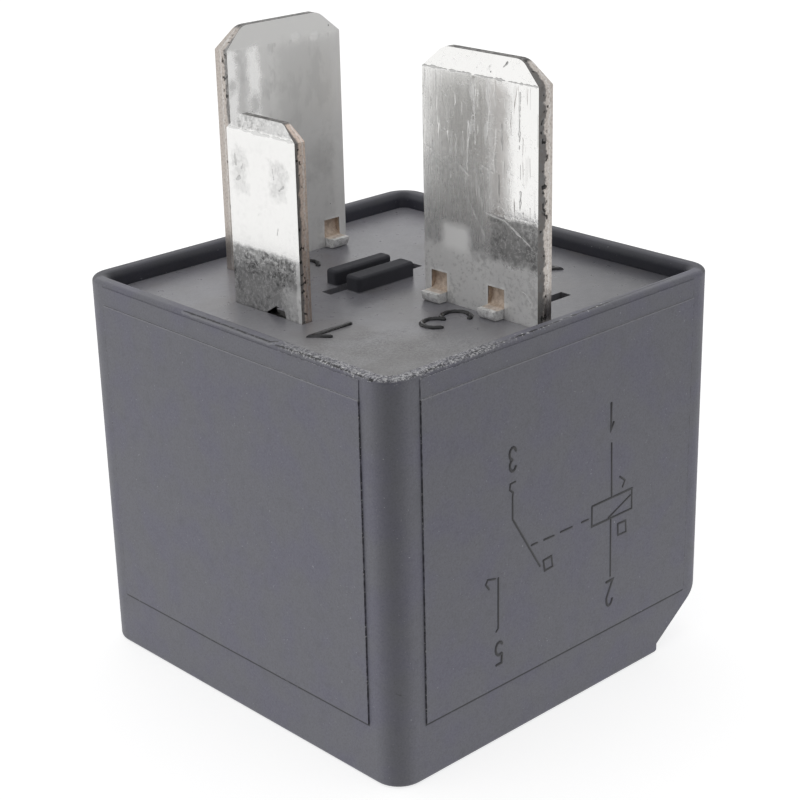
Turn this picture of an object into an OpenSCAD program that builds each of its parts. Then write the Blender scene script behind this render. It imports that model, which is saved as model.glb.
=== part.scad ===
// Cube relay with four blade terminals, standing on the closed face of its cap.
// Millimetres, +Z up towards the blades, origin at the middle of the resting face.
// Inside, an upright coil pulls a hinged armature, whose leaf spring carries the
// moving contact up against the fixed one.

/* [Cap] */
// Width of the cap across X, without the raised panels
cap_w = 28.6; // [27.6:0.1:31]
// Depth of the cap across Y, without the raised panels
cap_d = 28.6; // [27.6:0.1:31]
// Height of the cap from its closed face to its rim
cap_h = 25.8; // [25.2:0.1:29]
// Thickness of the cap's side walls
cap_wall = 1.15; // [0.9:0.05:1.3]
// Thickness of the cap's closed face
cap_floor = 1.2; // [0.9:0.05:1.5]
// Radius of the cap's upright corners
corner_r = 1.8; // [1.5:0.1:2.2]
// Radius round the closed face
floor_edge_r = 0.3; // [0.2:0.05:0.8]
// Radius along the outside of the rim
rim_edge_r = 0.3; // [0.15:0.05:0.4]
// Radius along the inside of the rim
rim_in_r = 0.5; // [0.2:0.05:0.5]
// Radius of the posts in the cap's corners that the base rests on
post_r = 1.7; // [1.2:0.1:2]

/* [Side panels] */
// How far each panel stands out from its side wall
panel_rise = 0.1; // [0.05:0.05:0.2]
// Distance from a panel's upright edge to the cap's corner
panel_inset = 2.35; // [2.3:0.05:3.2]
// Height of a panel's lower edge above the closed face
panel_low = 3.85; // [3:0.05:5]
// Distance from a panel's upper edge to the rim
panel_drop = 1.5; // [1:0.05:2.5]
// How far the band between a panel and the rim stands out from its side wall
band_rise = 0.05; // [0.03:0.01:0.08]

/* [Bevel] */
// Length of the sloping cut along the closed face
bevel_run = 4.9; // [3:0.05:5.2]
// Height of the sloping cut on the side wall
bevel_rise = 3.55; // [2.5:0.05:4]
// Height of the upright lip under the sloping cut
bevel_lip = 0.7; // [0.45:0.05:0.9]
// Radius along the foot of that lip
lip_r = 0.35; // [0.2:0.05:0.4]

/* [Base] */
// Thickness of the base plate
base_t = 2.2; // [1.8:0.1:2.5]
// Depth of the base's outer face below the rim
base_recess = 1.05; // [0.8:0.05:1.4]
// Gap between the base plate and the cap's walls
base_fit = 0.05; // [0.02:0.01:0.1]
// Gap round each blade in its slot
slot_fit = 0.04; // [0.02:0.01:0.08]
// Depth of the collars under the coil and load blades
collar_h = 1; // [0.6:0.1:1.4]
// Wall of those collars
collar_wall = 0.9; // [0.6:0.1:1.2]
// Depth of the blind slots
blind_depth = 1.1; // [0.6:0.1:1.4]
// Width of the blind slots
blind_w = 0.85; // [0.6:0.05:1]
// Length of the blind slot kept for a fifth blade
spare_len = 8.1; // [6.5:0.1:9]
// Y of the middle of that slot
spare_y = 2.3; // [2:0.05:2.8]
// Length of the bars on both sides of it
bar_len = 4.9; // [4:0.1:6]
// Thickness of the front bar
bar_front_t = 1.3; // [0.8:0.05:1.5]
// Thickness of the back bar
bar_back_t = 1; // [0.8:0.05:1.4]
// Radius of the bars' upright corners
bar_r = 0.25; // [0.1:0.05:0.35]
// X of the middle of both bars
bar_x = -0.35; // [-0.45:0.05:0.4]
// Length of the blind slot beside the common blade
side_slot_len = 3.9; // [3:0.1:4.5]
// Gap between that slot and the common blade
side_slot_gap = 1.1; // [0.8:0.1:1.5]
// Distance from the middle of that slot to the middle of the common blade
side_slot_shift = 1.5; // [0.8:0.1:2]

/* [Load blades] */
// Width of a load blade
load_w = 9.5; // [9:0.1:9.6]
// Thickness of a load blade
load_t = 1.2; // [1:0.05:1.3]
// Length of a load blade above the base's outer face
load_len = 15.85; // [14:0.05:18]
// Width of each cut corner at a load blade's tip
load_cut_w = 1.55; // [1:0.05:2]
// Height of the cut corners and face bevels at a load blade's tip
load_cut_h = 1.35; // [1:0.05:2]
// Thickness left at a load blade's tip
load_tip_t = 0.6; // [0.4:0.05:0.8]
// Radius where a load blade's cut corners meet its tip
load_tip_r = 1.2; // [0.4:0.1:1.6]
// X of the common blade's mid plane
common_x = 0.55; // [0.4:0.05:1]
// Distance from the cap's wall to the common blade's edge
common_room = 1.05; // [0.95:0.05:1.3]
// X of the switched blade's middle
switched_x = -0.25; // [-0.5:0.05:0.5]
// Distance from the cap's wall to the switched blade's mid plane
switched_room = 2.7; // [2.4:0.1:2.9]

/* [Barbs] */
// Width of a barb's groove
barb_w = 1.35; // [1:0.05:1.6]
// Height of the top of a barb's groove above the base
barb_h = 1.85; // [1.6:0.05:2.4]
// Height of a curled chip's ledge above the base
barb_ledge = 0.65; // [0.5:0.05:0.8]
// Depth of a barb's groove
barb_cut = 0.4; // [0.25:0.05:0.5]
// How far the curled chip stands out from the blade
barb_out = 0.95; // [0.6:0.05:1]
// Radius where a groove runs out into its chip
barb_sweep_r = 0.6; // [0.45:0.05:0.8]
// Distance from a load blade's middle to its first barb
barb_far = 3.5; // [3:0.1:3.8]
// Distance between a load blade's two barbs
barb_pitch = 4.85; // [4:0.05:5.5]

/* [Coil blades] */
// Width of a coil blade
coil_w = 6.3; // [6:0.1:6.6]
// Thickness of a coil blade
coil_t = 0.8; // [0.7:0.05:0.9]
// Length of a coil blade above the base's outer face
coil_len = 12.1; // [10:0.05:14]
// Width of each cut corner at a coil blade's tip
coil_cut_w = 1.15; // [0.7:0.05:1.5]
// Height of the cut corners and face bevels at a coil blade's tip
coil_cut_h = 1; // [0.7:0.05:1.5]
// Thickness left at a coil blade's tip
coil_tip_t = 0.45; // [0.3:0.05:0.6]
// Radius where a coil blade's cut corners meet its tip
coil_tip_r = 0.6; // [0.2:0.1:0.9]
// Distance from the cap's wall to the mid plane of each coil blade
coil_room = 4.55; // [4.2:0.05:4.7]
// Y of the middle of each coil blade
coil_y = 2.05; // [1.8:0.05:2.4]
// Width of the notch in a coil blade's foot
notch_w = 1.9; // [1.2:0.1:2.4]
// Distance from a coil blade's middle to the middle of that notch
notch_x = 0.75; // [0.3:0.05:1.2]
// Height of that notch
notch_h = 0.6; // [0.3:0.05:0.9]
// Width of a coil terminal's leg inside the case
leg_w = 2.4; // [1.8:0.1:2.8]
// Width of the wire post at the end of that leg
wire_post_w = 1.2; // [0.9:0.05:1.5]
// Length of the wire post
wire_post_len = 1.9; // [1.5:0.1:2.4]

/* [Magnet] */
// Thickness of the yoke's strip
yoke_t = 1.5; // [1.2:0.1:1.7]
// Gap between the yoke's sides and the coil terminals' collars
yoke_gap = 1.15; // [0.7:0.05:1.5]
// Distance from the cap's wall to the outer face of the yoke's upright
yoke_room = 3.1; // [2.9:0.05:3.4]
// Inside radius of the yoke's bend
yoke_bend_r = 0.3; // [0.2:0.05:0.5]
// Room between the yoke and the base for the core's riveted head
head_room = 0.55; // [0.45:0.05:0.7]
// Distance from the pole's rim to the edge of the bobbin's flange
pole_rim = 2.6; // [2.2:0.1:3.2]
// Thickness of the core's pole
pole_t = 1; // [0.8:0.1:1.1]
// Width of the core's shoulder under the yoke
core_step = 0.8; // [0.5:0.05:1.2]
// How far the core's upset head stands out round its riveted end
stake_out = 0.5; // [0.3:0.05:0.8]

/* [Coil] */
// Gap between the bobbin's flanges and the coil terminals' posts
flange_gap = 0.75; // [0.5:0.05:1]
// Thickness of the bobbin's flanges
flange_t = 1.3; // [1.2:0.05:1.6]
// Wall of the bobbin's tube
tube_wall = 0.7; // [0.5:0.05:0.9]
// Height of the bobbin's flanges above the winding
flange_rim = 0.7; // [0.5:0.05:1.2]
// Diameter of the core as a share of the winding's
core_share = 0.455; // [0.4:0.005:0.5]
// Diameter of the coil's lead wires
wire_d = 0.3; // [0.2:0.05:0.4]
// Number of turns of a lead round its post
wire_turns = 3; // [2:1:4]

/* [Armature] */
// Thickness of the armature plate
armature_t = 1.5; // [1.2:0.1:1.7]
// Distance from the armature's sides to the edges of the bobbin's flange
armature_in = 1.8; // [1.6:0.1:2.3]
// Room between the closed armature and the cap's closed face
armature_room = 2.85; // [2.7:0.05:3.2]
// Angle that the armature falls open
open_angle = 2.4; // [1.8:0.1:2.8]
// Gap between the closed armature and the pole
pole_gap = 0.05; // [0.03:0.01:0.08]
// Gap between the open armature and its stops
stop_gap = 0.03; // [0.02:0.01:0.06]
// Thickness of the stops' ledges
stop_t = 1; // [0.8:0.1:1.1]

/* [Contacts] */
// Thickness of the leaf spring
spring_t = 0.3; // [0.2:0.05:0.35]
// Width of the leaf spring
spring_w = 6; // [5:0.1:7]
// Width of the leaf spring's tongue at the contact
tongue_w = 4; // [3.4:0.1:4.8]
// Inside radius of the leaf spring's bend
spring_bend_r = 0.3; // [0.2:0.05:0.35]
// Diameter of both contacts
contact_d = 2.8; // [2.4:0.1:3]
// Height of a contact's domed head
contact_h = 0.95; // [0.7:0.05:1]
// Gap between the contacts and the armature's tip, and the bobbin
contact_room = 0.5; // [0.4:0.05:0.8]
// Inside radius of the bend that leads to the fixed contact
tab_bend_r = 0.35; // [0.3:0.05:0.6]
// Gap between the contacts with the armature closed
contact_gap = 0.05; // [0.03:0.01:0.08]
// Diameter of the rivets' shanks
rivet_d = 1.5; // [1.2:0.1:1.8]
// Diameter of the rivets' heads
rivet_head_d = 2.5; // [2.1:0.1:2.8]
// Height of the rivets' heads
rivet_head_h = 0.45; // [0.3:0.05:0.5]
// Gap round each rivet in its hole
rivet_fit = 0.03; // [0.02:0.01:0.05]
// Distance from the middle to each rivet of the yoke
yoke_rivet_x = 2.9; // [2.6:0.1:3.2]
// Distance from the middle to each rivet of the armature
armature_rivet_x = 1.7; // [1.5:0.1:1.8]

/* [Hidden] */
$fn = 64;
over = 1;              // overlap that makes a cut pass clean through
joint_over = 0.01;     // overlap that joins two parts of the leaf spring

// Heights, from the rim down to the base and from the closed face up to the magnet
base_top = cap_h - base_recess;
base_low = base_top - base_t;
yoke_top = base_low - head_room;
yoke_low = yoke_top - yoke_t;
arm_low = cap_floor + armature_room;
arm_top = arm_low + armature_t;
pole_z = arm_top + pole_gap;
flange_room = 0.3;     // height of the lower flange above the pole's face
flange_low = pole_z + flange_room;
flange_high = yoke_low;
window_low = flange_low + flange_t;
window_high = flange_high - flange_t;

// Places across the case, from the yoke's upright to the switched blade
wall_x = cap_w / 2 - cap_wall;
wall_y = cap_d / 2 - cap_wall;
common_y = load_w / 2 + common_room - wall_y;
switched_y = wall_y - switched_room;
switched_in = switched_y - load_t / 2;
coil_x = wall_x - coil_room;
coil_in = coil_x - coil_t / 2;
yoke_y = yoke_room - wall_y;
yoke_in = yoke_y + yoke_t;
yoke_w = 2 * (coil_in - collar_wall - yoke_gap);
spring_face = yoke_y - spring_t;
foot_face = spring_face - load_t;
contact_y = switched_in - tab_bend_r - rivet_head_d / 2;
tab_rim = 0.15;        // tab left in front of the fixed contact
tab_tip = contact_y - contact_d / 2 - tab_rim;
core_fit = 0.1;        // gap round the core in the bobbin

// The coil is as wide as fits between the posts, and between the yoke and the contacts
coil_back = yoke_in + yoke_bend_r;
coil_front = contact_y - contact_d / 2 - contact_room;
flange_w = min(2 * (coil_in - flange_gap), coil_front - coil_back);
axis_y = coil_back + flange_w / 2;
winding_d = flange_w - 2 * flange_rim;
core_d = winding_d * core_share;
bore_d = core_d + 2 * core_fit;
tube_d = bore_d + 2 * tube_wall;
stake_d = core_d - 2 * core_step;
stake_head_d = stake_d + 2 * stake_out;
pole_d = flange_w - 2 * pole_rim;
armature_w = flange_w - 2 * armature_in;
armature_tip = coil_back + flange_w;

// The armature turns on its own rear edge, against the end of the yoke
hinge_back = 0.35;     // rear edge's distance inside the yoke's outer face
hinge_y = yoke_y + hinge_back;
hinge_z = arm_top + pole_gap / 2;
armature_rivet_in = 1.5;   // distance from the armature's tip to its rivets
armature_rivet_y = armature_tip - armature_rivet_in;
hang = hinge_z - arm_low;
tip_drop = (armature_tip - hinge_y) * sin(open_angle);
stop_top = hinge_z - hang * cos(open_angle) - tip_drop - stop_gap;
stop_side = 0.35;      // gap between the armature's sides and the stops' arms
stop_w = 1.2;          // thickness of those arms
stop_under = 1.1;      // ledge's reach under the armature
stop_len = 2;          // length of the stops along the armature
fixed_low = arm_low + contact_h + contact_gap;
tab_low = fixed_low + contact_h;
rivet_z = (window_low + window_high) / 2;
foot_half = 2.8;       // half height of the common terminal's foot
foot_past = 2.6;       // foot's length past its rivet
foot_end = yoke_rivet_x + foot_past;

// The sloping cut at the foot of the +X wall
bevel_x = cap_w / 2 - bevel_run;
bevel_angle = atan2(bevel_rise, bevel_run);
bevel_inset = cap_wall / cos(bevel_angle) - cap_wall * tan(bevel_angle);

// The coil leads run level, just under the upper flange
lead_drop = 0.5;       // distance from that flange to the leads' middle
lead_z = window_high - lead_drop - wire_d / 2;
post_out_r = sqrt(pow(wire_post_w, 2) + pow(coil_t, 2)) / 2;
lead_fit = 0.02;       // gap between a lead and its post
lead_r = post_out_r + wire_d / 2 + lead_fit;
lead_y = coil_y - lead_r;
lead_end = sqrt(pow(winding_d / 2, 2) - pow(lead_y - axis_y, 2));

// ---------------------------------------------------------------- shared shapes

// Flat rectangle with round corners, centred on the origin
module round_rect(w, d, r) {
    square([w - 2 * r, d], center = true);
    square([w, d - 2 * r], center = true);
    for (x = [-1, 1], y = [-1, 1])
        translate([x * (w / 2 - r), y * (d / 2 - r)]) circle(r);
}

// Upright plate with round corners, from z to z + h
module round_plate(w, d, h, r, z = 0) {
    translate([0, 0, z]) linear_extrude(h) round_rect(w, d, r);
}

// Half section of a block: round at the foot by low_r and at the top by high_r
module edge_section(half, h, low_r, high_r) {
    intersection() {
        square([half, h]);
        union() {
            translate([0, low_r]) square([half, h - low_r - high_r]);
            square([half - low_r, h - high_r]);
            square([half - high_r, h - low_r]);
            translate([0, low_r]) square([half - high_r, h - low_r]);
            translate([half - low_r, low_r]) circle(low_r);
            translate([half - high_r, h - high_r]) circle(high_r);
        }
    }
}

// Block with round upright corners, a round foot and a round top edge
module soft_block(w, d, h, r, low_r, high_r) {
    rotate([90, 0, 0]) linear_extrude(d - 2 * r, center = true)
        for (side = [0, 1]) mirror([side, 0]) edge_section(w / 2, h, low_r, high_r);
    rotate([90, 0, 90]) linear_extrude(w - 2 * r, center = true)
        for (side = [0, 1]) mirror([side, 0]) edge_section(d / 2, h, low_r, high_r);
    for (x = [-1, 1], y = [-1, 1])
        translate([x * (w / 2 - r), y * (d / 2 - r), 0])
            rotate_extrude() edge_section(r, h, low_r, high_r);
}

// Extrudes a shape drawn in Y and Z along X, centred on x
module along_x(length, x = 0) {
    translate([x, 0, 0]) rotate([90, 0, 90]) linear_extrude(length, center = true) children();
}

// Extrudes a shape drawn in X and Z along Y, centred on y
module along_y(length, y = 0) {
    translate([0, y, 0]) rotate([90, 0, 0]) linear_extrude(length, center = true) children();
}

// Turns its children open about the armature's rear edge
module fallen_open() {
    translate([0, hinge_y, hinge_z]) rotate([-open_angle, 0, 0])
        translate([0, -hinge_y, -hinge_z]) children();
}

// Rivet along +Z: a shank from 0 to grip, with a low domed head past its top and its foot
module rivet(grip, d, head_d, head_h, top = true, foot = true) {
    cylinder(d = d, h = grip);
    if (top) translate([0, 0, grip]) domed_head(head_d, head_h);
    if (foot) mirror([0, 0, 1]) domed_head(head_d, head_h);
}

// Low dome standing on z = 0
module domed_head(d, h) {
    ball_r = (pow(d / 2, 2) + pow(h, 2)) / (2 * h);
    rotate_extrude() intersection() {
        square([d / 2, h]);
        translate([0, h - ball_r]) circle(ball_r);
    }
}

// Contact standing on z = 0: a straight rim with a shallow domed face above it
module contact_head(d, h) {
    rim_h = h * 0.6;
    cylinder(d = d, h = rim_h);
    translate([0, 0, rim_h]) domed_head(d, h - rim_h);
}

// ---------------------------------------------------------------- cap

// Space cut away by the slope in the +X wall; lift raises it for the inner face of the wall
module bevel_cut(length, lift = 0) {
    reach = cap_w / 2 + over;
    slope = bevel_rise / bevel_run;
    along_y(length) {
        polygon([
            [bevel_x, -over],
            [bevel_x, bevel_lip + lift],
            [reach, bevel_lip + lift + (reach - bevel_x) * slope],
            [reach, -over]]);
        translate([bevel_x - lip_r, 0]) difference() {
            translate([0, -over]) square([lip_r + over, lip_r + over]);
            translate([0, lip_r]) circle(lip_r);
        }
    }
}

// Section of the cut that rounds the inside of the rim, with the wall's face at u = 0
module rim_cut_section(r) {
    difference() {
        translate([-over, -r]) square([over + r, r + over]);
        translate([r, -r]) circle(r);
    }
}

// Cut that rounds the upper edge of a round-cornered well, w by d with corner radius r
module rim_cut(w, d, r, edge_r) {
    for (side = [-1, 1]) {
        translate([side * w / 2, 0]) rotate([90, 0, 0]) linear_extrude(d - 2 * r, center = true)
            mirror([side < 0 ? 1 : 0, 0]) rim_cut_section(edge_r);
        translate([0, side * d / 2]) rotate([90, 0, 90]) linear_extrude(w - 2 * r, center = true)
            mirror([side < 0 ? 1 : 0, 0]) rim_cut_section(edge_r);
    }
    for (x = [-1, 1], y = [-1, 1]) translate([x * (w / 2 - r), y * (d / 2 - r)])
        rotate_extrude() intersection() {
            translate([r, 0]) rim_cut_section(edge_r);
            translate([0, -edge_r]) square([r + edge_r, edge_r + over]);
        }
}

// Hollow of the cap: a round-cornered well with a post left in each corner below the base
module cap_hollow() {
    w = 2 * wall_x;
    d = 2 * wall_y;
    r = corner_r - cap_wall;
    difference() {
        translate([0, 0, cap_floor]) linear_extrude(base_low - cap_floor) difference() {
            round_rect(w, d, r);
            for (x = [-1, 1], y = [-1, 1]) translate([x * wall_x, y * wall_y]) circle(post_r);
        }
        translate([-cap_wall, 0, 0]) bevel_cut(cap_d + over, bevel_inset);
    }
    round_plate(w, d, cap_h - base_low + over, r, base_low);
    translate([0, 0, cap_h]) rim_cut(w, d, r, rim_in_r);
}

// Plates that stand out from the four side walls by rise, from z = low to z = high
module wall_plates(rise, low, high) {
    translate([0, 0, (low + high) / 2]) {
        cube([cap_w - 2 * panel_inset, cap_d + 2 * rise, high - low], center = true);
        cube([cap_w + 2 * rise, cap_d - 2 * panel_inset, high - low], center = true);
    }
}

module cap() {
    panel_high = cap_h - panel_drop;
    color([0.16, 0.165, 0.18]) difference() {
        union() {
            soft_block(cap_w, cap_d, cap_h, corner_r, floor_edge_r, rim_edge_r);
            wall_plates(panel_rise, panel_low, panel_high);
            wall_plates(band_rise, panel_low, cap_h - rim_edge_r);
        }
        cap_hollow();
        bevel_cut(cap_d + over);
    }
}

// ---------------------------------------------------------------- base

// Flat opening for a strip of the given width along X or, turned, along Y
module strip_slot(w, t, turned = false) {
    size = [w + 2 * slot_fit, t + 2 * slot_fit];
    square(turned ? [size.y, size.x] : size, center = true);
}

// Collar under the base round a strip
module collar(w, t, turned = false) {
    size = [w + 2 * collar_wall, t + 2 * collar_wall];
    translate([0, 0, base_low - collar_h]) linear_extrude(collar_h + over / 2)
        square(turned ? [size.y, size.x] : size, center = true);
}

// The four slots that the blades pass through
module blade_slots() {
    translate([0, 0, base_low - collar_h - over]) linear_extrude(base_t + collar_h + 2 * over) {
        translate([common_x, common_y]) strip_slot(load_w, load_t, true);
        translate([switched_x, switched_y]) strip_slot(load_w, load_t);
        for (side = [-1, 1]) translate([side * coil_x, coil_y]) strip_slot(coil_w, coil_t, true);
    }
}

// Bar beside the spare slot, as high as the rim; its round foot is sunk in the plate
module slot_bar(y, t) {
    edge_r = bar_r * 0.8;
    translate([bar_x, y, base_top - over / 2])
        soft_block(bar_len, t, base_recess + over / 2, bar_r, edge_r, edge_r);
}

module base() {
    w = 2 * (wall_x - base_fit);
    d = 2 * (wall_y - base_fit);
    side_slot_y = common_y - side_slot_shift;
    side_slot_x = common_x + load_t / 2 + side_slot_gap;
    pad_d = 2;         // four pads press on the corners of the yoke
    pad_in = 1.4;
    pad_back = 0.6;
    pad_front = 2.6;
    color([0.2, 0.2, 0.215]) difference() {
        union() {
            round_plate(w, d, base_t, corner_r - cap_wall - base_fit, base_low);
            translate([switched_x, switched_y, 0]) collar(load_w, load_t);
            for (side = [-1, 1]) translate([side * coil_x, coil_y, 0]) collar(coil_w, coil_t, true);
            for (x = [-1, 1], y = [yoke_in + pad_back, axis_y + pad_front])
                translate([x * (yoke_w / 2 - pad_in), y, yoke_top])
                    cylinder(d = pad_d, h = head_room + over / 2);
            slot_bar(spare_y - (blind_w + bar_front_t) / 2, bar_front_t);
            slot_bar(spare_y + (blind_w + bar_back_t) / 2, bar_back_t);
        }
        blade_slots();
        translate([-spare_len / 2, spare_y - blind_w / 2, base_top - blind_depth])
            cube([spare_len, blind_w, blind_depth + over]);
        translate([side_slot_x, side_slot_y - blind_w / 2, base_top - blind_depth])
            cube([side_slot_len, blind_w, blind_depth + over]);
    }
}

// ---------------------------------------------------------------- terminals

// Takes off a flat shape's corner at v outside a round of radius r;
// a and b are unit vectors from v along the two edges
module corner_off(v, a, b, r) {
    half = acos(a * b) / 2;
    centre = v + (a + b) / norm(a + b) * r / sin(half);
    difference() {
        polygon([v + a * r / tan(half), v - (a + b) * over, v + b * r / tan(half)]);
        translate(centre) circle(r);
    }
}

// Blade in the XZ plane, w wide and t thick, from z = low to z = low + h,
// with cut corners, rounded by tip_r, and bevelled faces at its tip
module blade(w, t, low, h, cut_w, cut_h, tip_t, tip_r) {
    high = low + h;
    slant = [cut_w, -cut_h] / norm([cut_w, cut_h]);
    intersection() {
        along_y(t) difference() {
            polygon([[-w / 2, low], [w / 2, low], [w / 2, high - cut_h],
                [w / 2 - cut_w, high], [-w / 2 + cut_w, high], [-w / 2, high - cut_h]]);
            for (side = [0, 1]) mirror([side, 0])
                corner_off([w / 2 - cut_w, high], [-1, 0], slant, tip_r);
        }
        along_x(w) polygon([[-t / 2, low], [t / 2, low], [t / 2, high - cut_h],
            [tip_t / 2, high], [-tip_t / 2, high], [-t / 2, high - cut_h]]);
    }
}

// Groove of one barb, cut in the -Y face of a blade at x
module barb_groove(x) {
    translate([x - barb_w / 2, -load_t / 2 - over, base_top + barb_ledge])
        cube([barb_w, barb_cut + over, barb_h - barb_ledge]);
}

// Curled chip of one barb: the groove sweeps out on to a ledge with a round underside
module barb_chip(x) {
    seat = 0.04;
    along_x(barb_w, x) translate([-load_t / 2, base_top]) {
        intersection() {
            translate([0, barb_ledge]) circle(barb_out);
            translate([-barb_out, seat]) square([barb_out + barb_cut, barb_ledge - seat]);
        }
        translate([barb_cut - barb_sweep_r, barb_ledge - seat]) difference() {
            square([barb_sweep_r + seat, barb_sweep_r]);
            translate([0, barb_sweep_r + seat]) circle(barb_sweep_r);
        }
    }
}

// Load blade with its two barbs, standing in the XZ plane, barbs on its -Y face
module load_blade(barb_dir) {
    low = base_low;
    difference() {
        blade(load_w, load_t, low, base_t + load_len, load_cut_w, load_cut_h, load_tip_t, load_tip_r);
        for (i = [0, 1]) barb_groove(barb_dir * (barb_far - i * barb_pitch));
    }
    for (i = [0, 1]) barb_chip(barb_dir * (barb_far - i * barb_pitch));
}

// Coil blade with its notched foot, standing in the XZ plane
module coil_blade() {
    low = base_low - collar_h;
    steep = notch_w * 0.1;
    difference() {
        blade(coil_w, coil_t, low, base_t + collar_h + coil_len,
            coil_cut_w, coil_cut_h, coil_tip_t, coil_tip_r);
        along_y(coil_t + over) polygon([[notch_x - notch_w / 2, base_top],
            [notch_x + notch_w / 2, base_top],
            [notch_x + notch_w / 2 - steep, base_top + notch_h],
            [notch_x, base_top + notch_h]]);
    }
}

// Coil terminal of one side: blade, leg through the bobbin's lug and wire post
module coil_terminal(side) {
    translate([side * coil_x, coil_y, 0]) {
        rotate([0, 0, -90]) coil_blade();
        translate([-coil_t / 2, -leg_w / 2, window_high])
            cube([coil_t, leg_w, base_low - collar_h - window_high + over / 2]);
        translate([-coil_t / 2, -wire_post_w / 2, window_high - wire_post_len])
            cube([coil_t, wire_post_w, wire_post_len + over / 2]);
    }
}

module terminal_1() {
    color([0.78, 0.78, 0.76]) coil_terminal(-1);
}

module terminal_2() {
    color([0.78, 0.78, 0.76]) coil_terminal(1);
}

// Common terminal: its neck turns a corner into a foot riveted over the leaf spring
module terminal_3() {
    left = common_x - load_t / 2;
    round_r = load_t * 0.8;
    color([0.78, 0.78, 0.76]) difference() {
        union() {
            translate([common_x, common_y, 0]) rotate([0, 0, -90]) load_blade(-1);
            translate([left, foot_face, rivet_z - foot_half])
                cube([load_t, load_t, base_low - rivet_z + foot_half + over / 2]);
            translate([left, foot_face, rivet_z - foot_half]) linear_extrude(2 * foot_half)
                square([foot_end - left, load_t]);
        }
        translate([left, foot_face, rivet_z - foot_half - over])
            linear_extrude(base_low - rivet_z + foot_half + over) difference() {
                translate([-over, -over]) square(round_r + over);
                translate([round_r, round_r]) circle(round_r);
            }
        translate([yoke_rivet_x, foot_face - over, rivet_z]) rotate([-90, 0, 0])
            cylinder(d = rivet_d + 2 * rivet_fit, h = load_t + 2 * over);
    }
}

// Switched terminal: its leg bends under the coil's edge into the fixed contact's tab
module terminal_5() {
    outer_r = tab_bend_r + load_t;
    outer = switched_y + load_t / 2;
    leg_width = 5;
    color([0.78, 0.78, 0.76]) difference() {
        union() {
            translate([switched_x, switched_y, 0]) {
                load_blade(1);
                translate([-load_w / 2, -load_t / 2, base_low - collar_h])
                    cube([load_w, load_t, collar_h + over / 2]);
            }
            along_x(leg_width) {
                translate([switched_in, tab_low + outer_r])
                    square([load_t, base_low - tab_low - outer_r]);
                translate([tab_tip, tab_low]) square([outer - outer_r - tab_tip, load_t]);
                translate([outer - outer_r, tab_low + outer_r]) intersection() {
                    difference() {
                        circle(outer_r);
                        circle(tab_bend_r);
                    }
                    translate([0, -outer_r]) square(outer_r);
                }
            }
        }
        translate([0, contact_y, tab_low - over])
            cylinder(d = rivet_d + 2 * rivet_fit, h = load_t + 2 * over);
    }
}

// ---------------------------------------------------------------- magnet

// Yoke: an L bent from strip, with a hole for the core and two for its rivets
module yoke() {
    end_past = 1.6;    // length past the core's head
    outer_r = yoke_bend_r + yoke_t;
    reach = axis_y + stake_head_d / 2 + end_past;
    color([0.62, 0.62, 0.6]) difference() {
        along_x(yoke_w) {
            translate([yoke_y, pole_z]) square([yoke_t, yoke_top - outer_r - pole_z]);
            translate([yoke_y + outer_r, yoke_low]) square([reach - yoke_y - outer_r, yoke_t]);
            translate([yoke_y + outer_r, yoke_top - outer_r]) intersection() {
                difference() {
                    circle(outer_r);
                    circle(yoke_bend_r);
                }
                translate([-outer_r, 0]) square(outer_r);
            }
        }
        translate([0, axis_y, yoke_low - over])
            cylinder(d = stake_d + 2 * rivet_fit, h = yoke_t + 2 * over);
        for (x = [-1, 1]) translate([x * yoke_rivet_x, yoke_y - over, rivet_z])
            rotate([-90, 0, 0]) cylinder(d = rivet_d + 2 * rivet_fit, h = yoke_t + 2 * over);
    }
}

// Core: pole, shaft and a stake upset over the yoke
module core() {
    color([0.66, 0.66, 0.64]) translate([0, axis_y, 0]) {
        translate([0, 0, pole_z]) cylinder(d = pole_d, h = pole_t);
        translate([0, 0, pole_z + pole_t / 2]) cylinder(d = core_d, h = yoke_low - pole_z - pole_t / 2);
        translate([0, 0, yoke_low - over / 2]) cylinder(d = stake_d, h = yoke_t + over / 2);
        translate([0, 0, yoke_top]) cylinder(d = stake_head_d, h = head_room - base_fit);
    }
}

// Bobbin: tube between two flanges, lugs for the coil terminals and stops for the armature
module bobbin() {
    flange_r = 1.2;
    lug_wall = 0.8;    // plastic round each coil terminal's leg
    lug_w = leg_w + 2 * lug_wall;
    lug_out = coil_x + coil_t / 2 + lug_wall;
    arm_in = armature_w / 2 + stop_side;
    stop_back = armature_tip - stop_len;
    color([0.85, 0.84, 0.78]) difference() {
        union() {
            translate([0, axis_y, 0]) {
                round_plate(flange_w, flange_w, flange_t, flange_r, flange_low);
                round_plate(flange_w, flange_w, flange_t, flange_r, window_high);
                translate([0, 0, flange_low]) cylinder(d = tube_d, h = flange_high - flange_low);
            }
            translate([-lug_out, coil_y - lug_w / 2, window_high])
                cube([2 * lug_out, lug_w, flange_t]);
            for (side = [0, 1]) mirror([side, 0, 0]) {
                translate([arm_in, stop_back, stop_top - stop_t])
                    cube([stop_w, stop_len, flange_low + flange_t / 2 - stop_top + stop_t]);
                translate([armature_w / 2 - stop_under, stop_back, stop_top - stop_t])
                    cube([stop_under + stop_side + stop_w / 2, stop_len, stop_t]);
            }
        }
        translate([0, axis_y, flange_low - over]) {
            cylinder(d = bore_d, h = flange_high - flange_low + 2 * over);
            cylinder(d = pole_d + 2 * core_fit, h = pole_z + pole_t + core_fit / 2 - flange_low + over);
        }
        for (side = [-1, 1]) translate([side * coil_x, coil_y, window_high - over])
            linear_extrude(flange_t + 2 * over) strip_slot(leg_w, coil_t, true);
    }
}

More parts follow.
